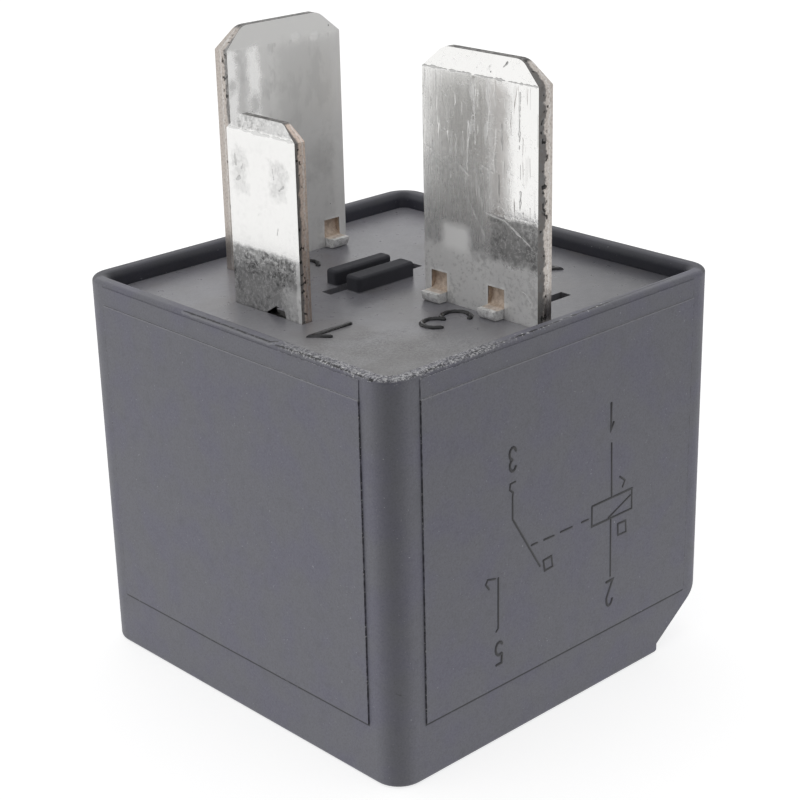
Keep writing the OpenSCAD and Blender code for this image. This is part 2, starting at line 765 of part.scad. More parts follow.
// Winding: wire layers between the flanges, rounded where the outer layers end short
module winding() {
    shoulder = 0.8;
    color([0.72, 0.36, 0.2]) translate([0, axis_y, 0]) difference() {
        rotate_extrude() {
            translate([0, window_low]) square([winding_d / 2 - shoulder, window_high - window_low]);
            translate([0, window_low + shoulder])
                square([winding_d / 2, window_high - window_low - 2 * shoulder]);
            for (z = [window_low + shoulder, window_high - shoulder])
                translate([winding_d / 2 - shoulder, z]) circle(shoulder);
        }
        translate([0, 0, window_low - over]) cylinder(d = tube_d, h = window_high - window_low + 2 * over);
    }
}

// Lead wire of the +X side: a few turns round the terminal's post, then straight to the winding
module coil_lead() {
    color([0.76, 0.4, 0.22]) {
        for (i = [0 : wire_turns - 1])
            translate([coil_x, coil_y, lead_z - i * wire_d * 0.98])
                rotate_extrude() translate([lead_r, 0]) circle(wire_d / 2);
        translate([coil_x, lead_y, lead_z]) rotate([0, -90, 0])
            cylinder(d = wire_d, h = coil_x - lead_end);
    }
}

module coil_lead_start() {
    mirror([1, 0, 0]) coil_lead();
}

module coil_lead_finish() {
    coil_lead();
}

// ---------------------------------------------------------------- moving pieces

// Armature plate with a rounded front edge and holes for its two rivets
module armature() {
    front_r = 2;
    length = armature_tip - hinge_y;
    color([0.6, 0.6, 0.58]) fallen_open() difference() {
        union() {
            translate([-armature_w / 2, hinge_y, arm_low])
                cube([armature_w, length - front_r, armature_t]);
            translate([-armature_w / 2 + front_r, hinge_y, arm_low])
                cube([armature_w - 2 * front_r, length, armature_t]);
            for (x = [-1, 1])
                translate([x * (armature_w / 2 - front_r), armature_tip - front_r, arm_low])
                    cylinder(r = front_r, h = armature_t);
        }
        armature_rivet_holes(arm_low - over, armature_t + 2 * over);
    }
}

// Holes for the armature's rivets, from z upwards
module armature_rivet_holes(z, h) {
    for (x = [-1, 1]) translate([x * armature_rivet_x, armature_rivet_y, z])
        cylinder(d = rivet_d + 2 * rivet_fit, h = h);
}

// Outline of the leaf spring's level leg, seen from above
module spring_leg_outline(back) {
    tongue_end = contact_y + tongue_w / 2;
    shoulder_y = armature_tip - 0.4;
    taper = 0.8;
    translate([-spring_w / 2, back]) square([spring_w, shoulder_y - back]);
    translate([-tongue_w / 2, back]) square([tongue_w, contact_y - back]);
    translate([0, contact_y]) circle(d = tongue_w);
    polygon([[-spring_w / 2, shoulder_y - joint_over], [spring_w / 2, shoulder_y - joint_over],
        [tongue_w / 2, shoulder_y + taper], [-tongue_w / 2, shoulder_y + taper]]);
}

// Leaf spring: upright on the yoke's outer face, bent under and along the armature
module contact_spring() {
    face = -hang;
    bend_y = yoke_y - hinge_y + spring_bend_r;
    bend_z = (face + spring_bend_r - bend_y * sin(open_angle)) / cos(open_angle);
    outer_r = spring_bend_r + spring_t;
    reach = 2 * outer_r;
    leg_back = bend_y * cos(open_angle) - bend_z * sin(open_angle);
    plate_half = rivet_head_d;
    plate_w = 2 * (yoke_rivet_x + rivet_head_d * 0.7);
    upright_h = rivet_z + plate_half - hinge_z - bend_z;
    color([0.8, 0.62, 0.4]) difference() {
        union() {
            translate([-plate_w / 2, spring_face, rivet_z - plate_half])
                cube([plate_w, spring_t, 2 * plate_half]);
            translate([0, hinge_y, hinge_z]) along_x(spring_w) {
                translate([bend_y - outer_r, bend_z]) square([spring_t, upright_h]);
                translate([bend_y, bend_z]) intersection() {
                    difference() {
                        circle(outer_r);
                        circle(spring_bend_r);
                    }
                    polygon([[0, 0], [-reach, 0], [-reach, -reach],
                        [-reach * sin(open_angle), -reach * cos(open_angle)]]);
                }
            }
            fallen_open() translate([0, 0, arm_low - spring_t]) linear_extrude(spring_t)
                spring_leg_outline(hinge_y + leg_back - joint_over);
        }
        for (x = [-1, 1]) translate([x * yoke_rivet_x, spring_face - over, rivet_z])
            rotate([-90, 0, 0]) cylinder(d = rivet_d + 2 * rivet_fit, h = spring_t + 2 * over);
        fallen_open() {
            armature_rivet_holes(arm_low - spring_t - over, spring_t + 2 * over);
            translate([0, contact_y, arm_low - spring_t - over])
                cylinder(d = rivet_d + 2 * rivet_fit, h = spring_t + 2 * over);
        }
    }
}

// Moving contact: domed head on the spring's upper face, riveted under it
module moving_contact() {
    color([0.86, 0.86, 0.84]) fallen_open() translate([0, contact_y, arm_low]) {
        contact_head(contact_d, contact_h);
        mirror([0, 0, 1]) rivet(spring_t, rivet_d, rivet_head_d, rivet_head_h, foot = false);
    }
}

// Fixed contact: the same head turned down, riveted through the switched terminal's tab
module fixed_contact() {
    color([0.86, 0.86, 0.84]) translate([0, contact_y, tab_low]) {
        mirror([0, 0, 1]) contact_head(contact_d, contact_h);
        rivet(load_t, rivet_d, rivet_head_d, rivet_head_h, foot = false);
    }
}

// ---------------------------------------------------------------- rivets

// Rivets that hold the spring to the yoke; the +X one also holds the common terminal's foot
module yoke_rivets() {
    color([0.7, 0.7, 0.68]) for (side = [-1, 1]) {
        outer = side < 0 ? spring_face : foot_face;
        translate([side * yoke_rivet_x, outer, rivet_z]) rotate([-90, 0, 0])
            rivet(yoke_in - outer, rivet_d, rivet_head_d, rivet_head_h);
    }
}

// Rivets that hold the armature to the spring, flush with the armature's upper face
module armature_rivets() {
    color([0.7, 0.7, 0.68]) fallen_open()
        for (x = [-1, 1]) translate([x * armature_rivet_x, armature_rivet_y, arm_top])
            mirror([0, 0, 1])
                rivet(armature_t + spring_t, rivet_d, rivet_head_d, rivet_head_h, foot = false);
}

cap();
base();
terminal_1();
terminal_2();
terminal_3();
terminal_5();
yoke();
core();
bobbin();
winding();
coil_lead_start();
coil_lead_finish();
armature();
contact_spring();
moving_contact();
fixed_contact();
yoke_rivets();
armature_rivets();
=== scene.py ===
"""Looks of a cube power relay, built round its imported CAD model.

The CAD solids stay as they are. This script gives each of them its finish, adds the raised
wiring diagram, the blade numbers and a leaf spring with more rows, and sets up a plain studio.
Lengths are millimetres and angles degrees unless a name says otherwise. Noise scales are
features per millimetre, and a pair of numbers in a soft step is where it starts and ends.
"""

import logging
import math
from dataclasses import dataclass, replace
from enum import Enum
from typing import Callable, Optional, Sequence, Union

import bmesh
import bpy
from mathutils import Matrix, Vector


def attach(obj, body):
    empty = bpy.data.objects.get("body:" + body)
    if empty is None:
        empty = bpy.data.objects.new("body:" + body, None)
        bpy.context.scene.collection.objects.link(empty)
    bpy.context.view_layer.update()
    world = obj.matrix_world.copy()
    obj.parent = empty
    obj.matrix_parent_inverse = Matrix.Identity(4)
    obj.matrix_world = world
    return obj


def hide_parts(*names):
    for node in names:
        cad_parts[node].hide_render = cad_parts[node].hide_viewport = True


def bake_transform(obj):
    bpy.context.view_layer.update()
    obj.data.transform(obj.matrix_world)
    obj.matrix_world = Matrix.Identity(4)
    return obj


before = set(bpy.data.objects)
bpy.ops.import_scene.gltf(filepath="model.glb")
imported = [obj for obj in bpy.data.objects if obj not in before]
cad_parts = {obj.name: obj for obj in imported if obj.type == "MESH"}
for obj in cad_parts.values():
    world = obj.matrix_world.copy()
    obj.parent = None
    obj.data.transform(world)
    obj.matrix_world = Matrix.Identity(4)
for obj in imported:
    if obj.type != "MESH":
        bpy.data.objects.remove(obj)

logging.basicConfig(level=logging.INFO, format="%(name)s: %(message)s")
LOG = logging.getLogger("relay")

MM = 0.001
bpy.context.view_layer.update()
BASE_TOP = 24.75
BLADE_FRONT = -1.0

Point2 = tuple[float, float]
Point3 = tuple[float, float, float]
Colour = tuple[float, float, float]
Lines = tuple[tuple[Point2, ...], ...]

CHIP_AND_HIGHLIGHT_WHITE: Colour = (0.98, 0.98, 0.97)
DARK_MARK_AND_SHADE: Colour = (0.012, 0.012, 0.014)


class Body(str, Enum):
    """The two bodies of the motion model."""

    HOUSING = "housing"
    ARMATURE = "armature"


class Face(Enum):
    """Surfaces that carry raised signs: right, up and outward directions."""

    FRONT = ((-1.0, 0.0, 0.0), (0.0, 0.0, -1.0), (0.0, -1.0, 0.0))
    FLOOR = ((0.0, 1.0, 0.0), (-1.0, 0.0, 0.0), (0.0, 0.0, 1.0))


# ---------------- shader maths


def operator(operation: str, swapped: bool = False) -> Callable[..., "Value"]:
    """Makes a method of Value that adds one Math node.

    Args:
        operation: the node's operation.
        swapped: whether the other number comes first.

    Returns: the method.
    """

    def method(self: "Value", other: "Feed" = None) -> "Value":
        """Returns: the result of the node, with another value or number where it takes one."""
        pair = (other, self) if swapped else (self, other)
        return self.graph.math(operation, *pair)

    return method


class Value:
    """One output socket of a shader, with arithmetic that adds Math nodes."""

    def __init__(self, graph: "Graph", socket: bpy.types.NodeSocket) -> None:
        """Keeps the socket and the graph that new nodes go to."""
        self.graph = graph
        self.socket = socket

    __add__ = operator("ADD")
    __radd__ = operator("ADD", swapped=True)
    __sub__ = operator("SUBTRACT")
    __rsub__ = operator("SUBTRACT", swapped=True)
    __mul__ = operator("MULTIPLY")
    __rmul__ = operator("MULTIPLY", swapped=True)
    __truediv__ = operator("DIVIDE")
    __rtruediv__ = operator("DIVIDE", swapped=True)
    __pow__ = operator("POWER")
    __abs__ = operator("ABSOLUTE")
    low = operator("MINIMUM")
    high = operator("MAXIMUM")

    def clamp(self) -> "Value":
        """Returns: the value held between 0 and 1."""
        return self.graph.node("ShaderNodeClamp", {}, {"Value": self})

    def smooth(self, start: float, end: float) -> "Value":
        """A soft step.

        Args:
            start: where the result is 0.
            end: where the result is 1; it may be below start.

        Returns: 0 to 1.
        """
        settings = {"interpolation_type": "SMOOTHSTEP"}
        inputs = {"Value": self, "From Min": start, "From Max": end}
        return self.graph.node("ShaderNodeMapRange", settings, inputs)

    def spread(self, low: float, high: float) -> "Value":
        """Returns: 0 to 1 mapped to low to high."""
        return self * (high - low) + low

    def near(self, centre: float, half: float, soft: float) -> "Value":
        """Returns: 1 within half of centre, falling to 0 over soft."""
        return abs(self - centre).smooth(half + soft, half)


Feed = Union[Value, float, Colour, None]


class Graph:
    """The node tree of a material or of the world, with places in millimetres."""

    def __init__(self, owner: Union[bpy.types.Material, bpy.types.World]) -> None:
        """Empties a node tree, and in a material splits place and direction into their parts.

        Args:
            owner: the material, or the world.
        """
        owner.use_nodes = True
        self.tree = owner.node_tree
        self.tree.nodes.clear()
        if isinstance(owner, bpy.types.Material):
            place = self.node("ShaderNodeTexCoord", {}, {}, "Object")
            self.place = self.scaled(place, 1 / MM)
            self.x, self.y, self.z = self.split(self.place)
            normal = self.node("ShaderNodeNewGeometry", {}, {}, "Normal")
            self.nx, self.ny, self.nz = self.split(normal)

    def node(
        self,
        kind: str,
        settings: dict[str, object],
        inputs: dict[Union[str, int], Feed],
        out: Union[str, int] = 0,
    ) -> Value:
        """Adds one node: its type, then its settings, then its inputs.

        Args:
            kind: the node's type.
            settings: attributes of the node.
            inputs: feeds by socket name or index; None leaves a socket alone.
            out: the output that is returned.

        Returns: that output.
        """
        node = self.tree.nodes.new(kind)
        for key, setting in settings.items():
            setattr(node, key, setting)
        for key, feed in inputs.items():
            if isinstance(feed, Value):
                self.tree.links.new(feed.socket, node.inputs[key])
            elif isinstance(feed, tuple) and node.inputs[key].type == "RGBA":
                node.inputs[key].default_value = (*feed, 1.0)
            elif feed is not None:
                node.inputs[key].default_value = feed
        return Value(self, node.outputs[out])

    def split(self, vector: Value) -> tuple[Value, Value, Value]:
        """Splits a vector.

        Args:
            vector: the vector.

        Returns: its three parts.
        """
        first = self.node("ShaderNodeSeparateXYZ", {}, {"Vector": vector})
        outputs = first.socket.node.outputs
        return first, Value(self, outputs[1]), Value(self, outputs[2])

    def math(self, operation: str, a: Feed, b: Feed = None) -> Value:
        """Returns: the result of one Math node."""
        return self.node("ShaderNodeMath", {"operation": operation}, {0: a, 1: b})

    def constant(self, number: float) -> Value:
        """Returns: a number as a value, which arithmetic can start from."""
        return self.math("ADD", number, 0.0)

    def vector(self, operation: str, a: Feed, b: Feed, out: str = "Vector") -> Value:
        """Returns: the result of one Vector Math node."""
        return self.node("ShaderNodeVectorMath", {"operation": operation}, {0: a, 1: b}, out)

    def scaled(self, vector: Feed, scale: Feed) -> Value:
        """Returns: a vector made longer or shorter."""
        inputs = {0: vector, "Scale": scale}
        return self.node("ShaderNodeVectorMath", {"operation": "SCALE"}, inputs)

    def mix(self, factor: Feed, a: Feed, b: Feed) -> Value:
        """Returns: colour a blended into colour b."""
        return self.node("ShaderNodeMix", {"data_type": "RGBA"}, {0: factor, 6: a, 7: b}, 2)

    def stretched(self, x: float, y: float, z: float) -> Value:
        """Returns: places with each axis scaled on its own, for grain that runs one way."""
        return self.vector("MULTIPLY", self.place, (x, y, z))

    def noise(
        self, scale: float, detail: float = 3.0, at: Optional[Value] = None, rough: float = 0.5
    ) -> Value:
        """Smooth noise.

        Args:
            scale: features per millimetre.
            detail: number of finer layers.
            at: places, or None for the surface's own.
            rough: weight of the finer layers.

        Returns: 0 to 1, around 0.5.
        """
        inputs = {"Vector": at or self.place, "Scale": scale, "Detail": detail, "Roughness": rough}
        return self.node("ShaderNodeTexNoise", {}, inputs)

    def specks(self, scale: float, radius: float, share: float) -> Value:
        """Scattered round specks.

        Args:
            scale: cells per millimetre.
            radius: of a speck, in millimetres.
            share: how many of the cells have one, 0 to 1.

        Returns: 1 on a speck, 0 beside it.
        """
        near = self.node("ShaderNodeTexVoronoi", {}, {"Vector": self.place, "Scale": scale})
        chance, size, _ = self.split(Value(self, near.socket.node.outputs["Color"]))
        full = radius * scale
        speck = (size.spread(0.4, 1.0) * full - near).smooth(-0.1 * full, 0.25 * full)
        return speck * chance.smooth(share, share - 0.01)

    def grey(self, level: Feed) -> Feed:
        """Makes a neutral colour.

        Args:
            level: how light it is, as a number or a value.

        Returns: the colour.
        """
        if isinstance(level, Value):
            inputs = {"Red": level, "Green": level, "Blue": level}
            return self.node("ShaderNodeCombineColor", {}, inputs)
        return (level, level * 0.996, level * 0.985)

    def flat(self, u: Value, h: Value) -> Value:
        """Returns: places on a flat face, from its two distances."""
        return self.node("ShaderNodeCombineXYZ", {}, {"X": u, "Y": h})

    def line(self, points: Sequence[Point3], at: Optional[Value] = None) -> Value:
        """Measures how far each place is from a chain of straight lines.

        Args:
            points: the chain.
            at: places, or None for the surface's own.

        Returns: the distance in millimetres.
        """
        found = None
        for start, end in zip(points, points[1:]):
            run = Vector(end) - Vector(start)
            offset = self.vector("SUBTRACT", at or self.place, tuple(start))
            along = self.vector("DOT_PRODUCT", offset, tuple(run), "Value") / run.length_squared
            reach = self.vector("DISTANCE", offset, self.scaled(tuple(run), along.clamp()), "Value")
            found = reach if found is None else found.low(reach)
        return found

    def shade(self, surface: "Surface") -> None:
        """Adds a surface's shader and sends it to the output.

        Args:
            surface: what the shader shows.
        """
        height = {"Height": surface.height, "Distance": surface.depth * MM, "Strength": 1.0}
        inputs: dict[Union[str, int], Feed] = {
            "Base Color": surface.colour,
            "Roughness": surface.roughness,
            "Metallic": surface.metallic,
            "Specular IOR Level": surface.specular,
            "Normal": self.node("ShaderNodeBump", {}, height),
        }
        self.output(self.node("ShaderNodeBsdfPrincipled", {}, inputs))

    def output(self, shader: Value, kind: str = "ShaderNodeOutputMaterial") -> None:
        """Sends a shader to a new output node of the kind given."""
        output = self.tree.nodes.new(kind)
        self.tree.links.new(shader.socket, output.inputs["Surface"])


# ---------------- finishes


@dataclass
class Surface:
    """What one shader shows. A finish starts it and builds it up in steps."""

    colour: Feed
    roughness: Feed
    metallic: Feed = 0.0
    height: Optional[Value] = None
    depth: float = 0.01
    specular: float = 0.5

    def cover(self, share: Value, colour: Feed) -> None:
        """Blends a colour over this one: a share of 1 shows only the new colour."""
        self.colour = share.graph.mix(share, self.colour, colour)


def shaded(colour: Colour, factor: float) -> Colour:
    """Returns: a colour made darker or lighter."""
    return tuple(part * factor for part in colour)


@dataclass(frozen=True)
class Finish:
    """A finish with a name. Each kind says what its surface looks like."""

    name: str

    def surface(self, g: Graph) -> Surface:
        """Returns: the surface of this finish in the graph g."""
        raise NotImplementedError

    def material(self) -> bpy.types.Material:
        """Returns: the finish as a material."""
        material = bpy.data.materials.new(self.name)
        g = Graph(material)
        g.shade(self.surface(g))
        return material


@dataclass(frozen=True)
class Moulding(Finish):
    """Matt moulded nylon: fine spark grain, faint patches and dust."""

    colour: Colour = (0.135, 0.136, 0.158)
    tint: Colour = (0.128, 0.126, 0.169)
    pale: Colour = (0.42, 0.42, 0.44)
    roughness: float = 0.5
    grain: float = 9.0
    grain_depth: float = 0.006
    dust: float = 0.05
    corner: Point2 = (-13.4, -13.4)
    reach: tuple[float, float] = (12.5, 5.5)

    def surface(self, g: Graph) -> Surface:
        """Builds grain, patches and dust.

        Args:
            g: the material's graph.

        Returns: the surface.
        """
        patch = g.noise(0.35, 3.0).smooth(0.42, 0.66)
        fine = g.noise(self.grain, 4.0, rough=0.65)
        cloud = g.noise(1.1, 4.0)
        rough = cloud.spread(self.roughness - 0.06, self.roughness + 0.06)
        rough += fine.spread(-0.04, 0.04)
        height = fine + g.noise(self.grain * 0.3, 2.0) * 0.6
        look = Surface(self.colour, rough, 0.0, height, self.grain_depth)
        look.cover(patch, self.tint)
        look.cover(fine.smooth(0.35, 0.7) * 0.45, shaded(self.colour, 1.45))
        look.cover(fine.smooth(0.45, 0.3) * 0.3, shaded(self.colour, 0.6))
        look.cover(cloud.smooth(0.55, 0.75) * 0.25, shaded(self.colour, 0.8))
        look.cover(g.specks(1.1, 0.05, self.dust) * 0.8, self.pale)
        return look

    def glinting_grain(self, g: Graph, look: Surface) -> tuple[Value, Value]:
        """Covers a surface with sandy grain round the nearest corner, with painted glints on its
        light grains and specks.

        Args:
            g: the material's graph.
            look: the surface, which is changed.

        Returns: where the grain is, and its height.
        """
        x, y = g.x - self.corner[0], g.y - self.corner[1]
        away = (x * x + y * y) ** 0.5
        glinting_grain = (away + g.noise(0.6, 3.0).spread(-3.5, 3.5)).smooth(*self.reach)
        grit = g.noise(7.5, 3.0, rough=0.8)
        # Painted glints: light grains and white specks round the nearest corner, dark grains
        # between them.
        look.cover(glinting_grain * grit.smooth(0.51, 0.56) * 0.85, (0.58, 0.58, 0.59))
        look.cover(glinting_grain * grit.smooth(0.45, 0.4) * 0.8, (0.015, 0.015, 0.018))
        look.cover(glinting_grain * g.noise(6.5, 1.0).smooth(0.7, 0.74) * 0.8, (0.85, 0.85, 0.85))
        return glinting_grain, grit


@dataclass(frozen=True)
class BaseMoulding(Moulding):
    """The base's nylon: glossier than the cap, dark on its raised bars, with a pale smudge, painted
    sheen and glints round the nearest corner and painted shadow towards the camera's right.
    """

    colour: Colour = (0.188, 0.186, 0.206)
    tint: Colour = (0.197, 0.193, 0.217)
    raised: Colour = (0.01, 0.011, 0.019)
    smudged: Colour = (0.32, 0.32, 0.33)
    corner_sheen: Colour = (0.35, 0.348, 0.355)
    shadow: Colour = (0.05, 0.05, 0.06)
    stained: Colour = (0.17, 0.158, 0.15)
    roughness: float = 0.3
    grain: float = 6.0
    grain_depth: float = 0.012
    smudge: Point2 = (-7.6, -5.1)

    def surface(self, g: Graph) -> Surface:
        """Adds the dark bars, the smudge, the grain with painted glints and painted sheen round the
        nearest corner, and painted shadow towards the camera's right.

        Args:
            g: the material's graph.

        Returns: the surface.
        """
        look = super().surface(g)
        raised = g.z.smooth(BASE_TOP + 0.03, BASE_TOP + 0.12)
        look.cover(raised * 0.92, self.raised)
        x, y = g.x - self.smudge[0], g.y - self.smudge[1]
        across, along = x * 0.723 - y * 0.69, x * 0.69 + y * 0.723
        smudge = across.near(0.0, 0.75, 0.2) * along.near(0.0, 0.6, 0.2)
        look.cover(smudge * g.noise(1.5, 3.0).smooth(0.3, 0.6) * 0.3, self.smudged)
        glinting_grain, grit = self.glinting_grain(g, look)
        # Painted sheen: lighter towards the nearest corner.
        look.cover((g.x + g.y).smooth(-6.0, -22.0) * 0.85, self.corner_sheen)
        # Painted shadow: darker towards the camera's right.
        look.cover((g.x * 0.723 - g.y * 0.69).smooth(5.0, 14.0) * 0.66, self.shadow)
        look.cover(g.noise(0.22, 3.0).smooth(0.48, 0.62) * (1.0 - raised) * 0.3, self.stained)
        look.roughness = look.roughness + glinting_grain * 0.15 + raised * 0.45
        look.height += glinting_grain * grit * 6.0
        look.specular = 0.7
        return look


@dataclass(frozen=True)
class CapMoulding(Moulding):
    """The cap's nylon: seams outline its panels, and its rim has a crack and a ragged edge. Painted
    shade darkens the nearest corner, the inside of the walls, the far rim and the panels' foot;
    painted highlights and glints lie on the panel tops, seams and rim.
    """

    half: float = 14.3
    far_off: float = 90.0
    seam_at: float = 11.95
    panel_low: float = 3.8
    panel_high: float = 24.3
    rim: float = 25.8
    shadow: Colour = (0.035, 0.035, 0.04)
    inner_shade: Colour = (0.012, 0.013, 0.021)
    painted_sheen: Colour = (0.3, 0.3, 0.31)
    light: Colour = (0.42, 0.42, 0.43)
    glint_tone: Colour = (0.85, 0.85, 0.84)
    nick: tuple[Point3, ...] = ((-13.7, -13.7, 6.4), (-13.55, -13.85, 6.3))
    seal: tuple[Point3, ...] = (
        (-14.15, -4.8, 25.7), (-14.12, -8.8, 25.75), (-14.2, -11.7, 25.7), (-14.2, -12.9, 25.7),
    )
    seam: tuple[Point3, ...] = (
        (-12.9, -14.15, 25.7), (-6.4, -14.02, 25.75), (-3.2, -14.05, 25.75), (1.6, -13.95, 25.8),
        (4.2, -13.9, 25.8),
    )
    crack: tuple[Point3, ...] = (
        (-14.15, 3.75, 25.8), (-14.1, -0.4, 25.8), (-14.15, -4.3, 25.8), (-13.85, -4.6, 25.8),
    )
    split: tuple[Point3, ...] = ((4.2, -13.9, 25.8), (8.0, -13.75, 25.8), (10.5, -13.7, 25.8))

    def surface(self, g: Graph) -> Surface:
        """Adds the seams, the rim's marks, painted shade and highlights, and the grain with painted
        sheen and glints round the nearest corner to the moulding.

        Args:
            g: the material's graph.

        Returns: the surface.
        """
        look = super().surface(g)
        self.darken(g, look)
        # Painted sheen and glints: up-facing faces round the nearest corner turn lighter and
        # grainy.
        sheen_look = Surface(g.mix(0.25, look.colour, self.painted_sheen), 0.0)
        glinting_grain, grit = self.glinting_grain(g, sheen_look)
        glinting_grain = glinting_grain * g.nz.smooth(0.35, 0.75)
        look.cover(glinting_grain, sheen_look.colour)
        wobble, flick = g.noise(2.5, 3.0), g.noise(5.0, 3.0)
        seam, foot_shadow, top = self.outline(g, wobble)
        marks, rim_glints, lip = self.rim_marks(g, wobble, flick)
        # Ragged rim edge: raised in the bump, with painted glints, strongest towards the nearest
        # corner.
        edge = g.z.smooth(self.rim - 0.42, self.rim - 0.2)
        edge *= abs(g.x).high(abs(g.y)).smooth(13.7, 14.0)
        ragged = edge * flick.smooth(0.6, 0.68) * (g.x + g.y).smooth(-18.0, -25.0).spread(0.08, 0.5)
        nick = g.line(self.nick).smooth(0.13, 0.04) * g.noise(6.0, 3.0).smooth(0.4, 0.5)
        dust = g.noise(6.5, 2.0).smooth(0.7, 0.75) * g.noise(0.7, 2.0).smooth(0.46, 0.58)
        glint = seam * flick.smooth(0.6, 0.66)
        # Dark seams, rim cracks and the nick, and the painted shadow under the panels' foot.
        look.cover((seam * 0.8).high(foot_shadow * 0.85).high(marks * 0.9).high(nick), DARK_MARK_AND_SHADE)
        # Painted glints on the seams and ragged rim, painted highlight along the panel tops, dust
        # and the pale lip.
        highlights_and_dust = (glint * 0.6).high(top * 0.4).high(ragged * 0.6).high(dust * 0.5).high(lip * 0.25)
        look.cover(highlights_and_dust, self.light)
        # Painted glints beside the rim's seal and seam.
        look.cover(rim_glints * 0.6, self.glint_tone)
        look.roughness += seam * 0.2
        look.height = look.height - (seam + foot_shadow) * 1.5 - nick * 3.0 - marks * 2.0 + ragged * 2.0
        look.height += glinting_grain * grit * 4.0
        return look

    def darken(self, g: Graph, look: Surface) -> None:
        """Paints shade on the nearest upright corner, the inside of the walls and the far rim.

        Args:
            g: the material's graph.
            look: the surface, which is changed.
        """
        look.cover(g.x.smooth(-12.6, -13.8) * g.y.smooth(-12.6, -13.8) * 0.45, self.shadow)
        inner = abs(g.x).high(abs(g.y)).smooth(13.55, 13.35) * g.z.smooth(24.6, 24.8)
        far = g.x.high(g.y).smooth(12.9, 13.3) * g.z.smooth(24.9, 25.2) * g.nz.smooth(0.1, 0.5)
        look.cover((inner * 0.8).high(far * 0.65), self.inner_shade)

    def outline(self, g: Graph, wobble: Value) -> tuple[Value, Value, Value]:
        """Outlines the panels.

        Args:
            g: the material's graph.
            wobble: noise that makes the lines uneven.

        Returns: 1 on the upright seams, on the painted shadow line under the panels' foot, and on
        the painted highlight line along their top.
        """
        wall = (self.half - 0.3, self.half - 0.25)
        off_x, off_y = (
            abs(along) + (1.0 - abs(across).smooth(*wall)) * self.far_off
            for across, along in ((g.x, g.y), (g.y, g.x))
        )
        inside = off_x.low(off_y).smooth(self.seam_at + 0.1, self.seam_at)
        sides = abs(off_x - self.seam_at).low(abs(off_y - self.seam_at))
        seam = (wobble.spread(-0.05, 0.075) - sides).smooth(-0.02, 0.02)
        seam = seam * g.z.smooth(self.panel_low, self.panel_low + 0.05)
        seam = seam * g.z.smooth(self.panel_high + 0.9, self.panel_high + 0.3)
        # Painted shadow line under the panels' foot.
        foot_shadow = g.z.near(self.panel_low, 0.07, 0.05) * inside * wobble.smooth(0.25, 0.36)
        # Painted highlight line along the panels' top.
        top = abs(g.z - self.panel_high).smooth(0.09, 0.03) * inside
        return seam, foot_shadow, top * wobble.spread(0.3, 1.1).clamp()

    def rim_marks(self, g: Graph, wobble: Value, flick: Value) -> tuple[Value, Value, Value]:
        """Finds the marks of the rim.

        Args:
            g: the material's graph.
            wobble: noise that makes the lines uneven.
            flick: noise that breaks them.

        Returns: 1 on the cracks, on the painted glints beside them, and on the pale lip.
        """
        crack = g.line(self.crack) + wobble * 0.12
        split = g.line(self.split) + wobble * 0.14
        rim = g.line(self.seal).low(g.line(self.seam)) + wobble * 0.24 - 0.12
        sealed = rim.smooth(0.08, 0.03) * g.noise(1.4, 3.0).smooth(0.36, 0.44)
        cracked = crack.smooth(0.16, 0.1) * flick.smooth(0.34, 0.44)
        marks = cracked.high(split.smooth(0.13, 0.08) * 0.6).high(sealed)
        rim_glints = rim.smooth(0.24, 0.16) * g.noise(5.5, 1.5).smooth(0.64, 0.7)
        lip = crack.near(0.2, 0.05, 0.05) * g.x.smooth(-14.1, -14.2)
        return marks, rim_glints, lip * g.z.smooth(self.rim - 0.5, self.rim - 0.2)


class BladeMap:
    """A place on a blade, and the noises that its marks share.

    u runs along the width, v through the thickness and h up from the base. broad is 1 on the
    two wide faces, and front is 1 on the face with the barbs.
    """

    def __init__(self, g: Graph, centre: Point2, along_y: bool) -> None:
        """Measures a blade.

        Args:
            g: the material's graph.
            centre: middle of the blade in X and Y.
            along_y: whether its width runs along Y.
        """
        first, second = (g.x - centre[0], g.nx), (g.y - centre[1], g.ny)
        (self.u, _), (self.v, nv) = (second, first) if along_y else (first, second)
        self.h = g.z - BASE_TOP
        self.broad = abs(nv).smooth(0.45, 0.8)
        self.front = (self.v * BLADE_FRONT).smooth(0.0, 0.1)
        lines = g.stretched(5.0, 5.0, 0.22)
        self.streak = g.noise(0.55, 4.0, lines, 0.6)
        self.hair = g.noise(2.6, 3.0, lines, 0.6)
        self.cloud = g.noise(0.55, 5.0)
        self.fine = g.noise(3.2, 6.0, rough=0.7)
        self.curl = g.noise(1.5, 3.0, rough=0.6)


@dataclass(frozen=True)
class Patch:
    """One area of tarnish and painted reflection on a blade's front face, with ragged or soft
    sides.
    """

    u: tuple[float, float]
    h: tuple[float, float]
    tone: float
    soft: float = 0.2
    ragged: float = 0.4
    strength: float = 1.0
    mottle: float = 0.0
    milky: float = 0.0
    rough: float = 0.0


@dataclass(frozen=True)
class Mark:
    """One fine line or row of dots on a blade's front face."""

    points: tuple[Point2, ...]
    tone: float
    width: float = 0.05
    strength: float = 0.8
    broken: float = 0.35


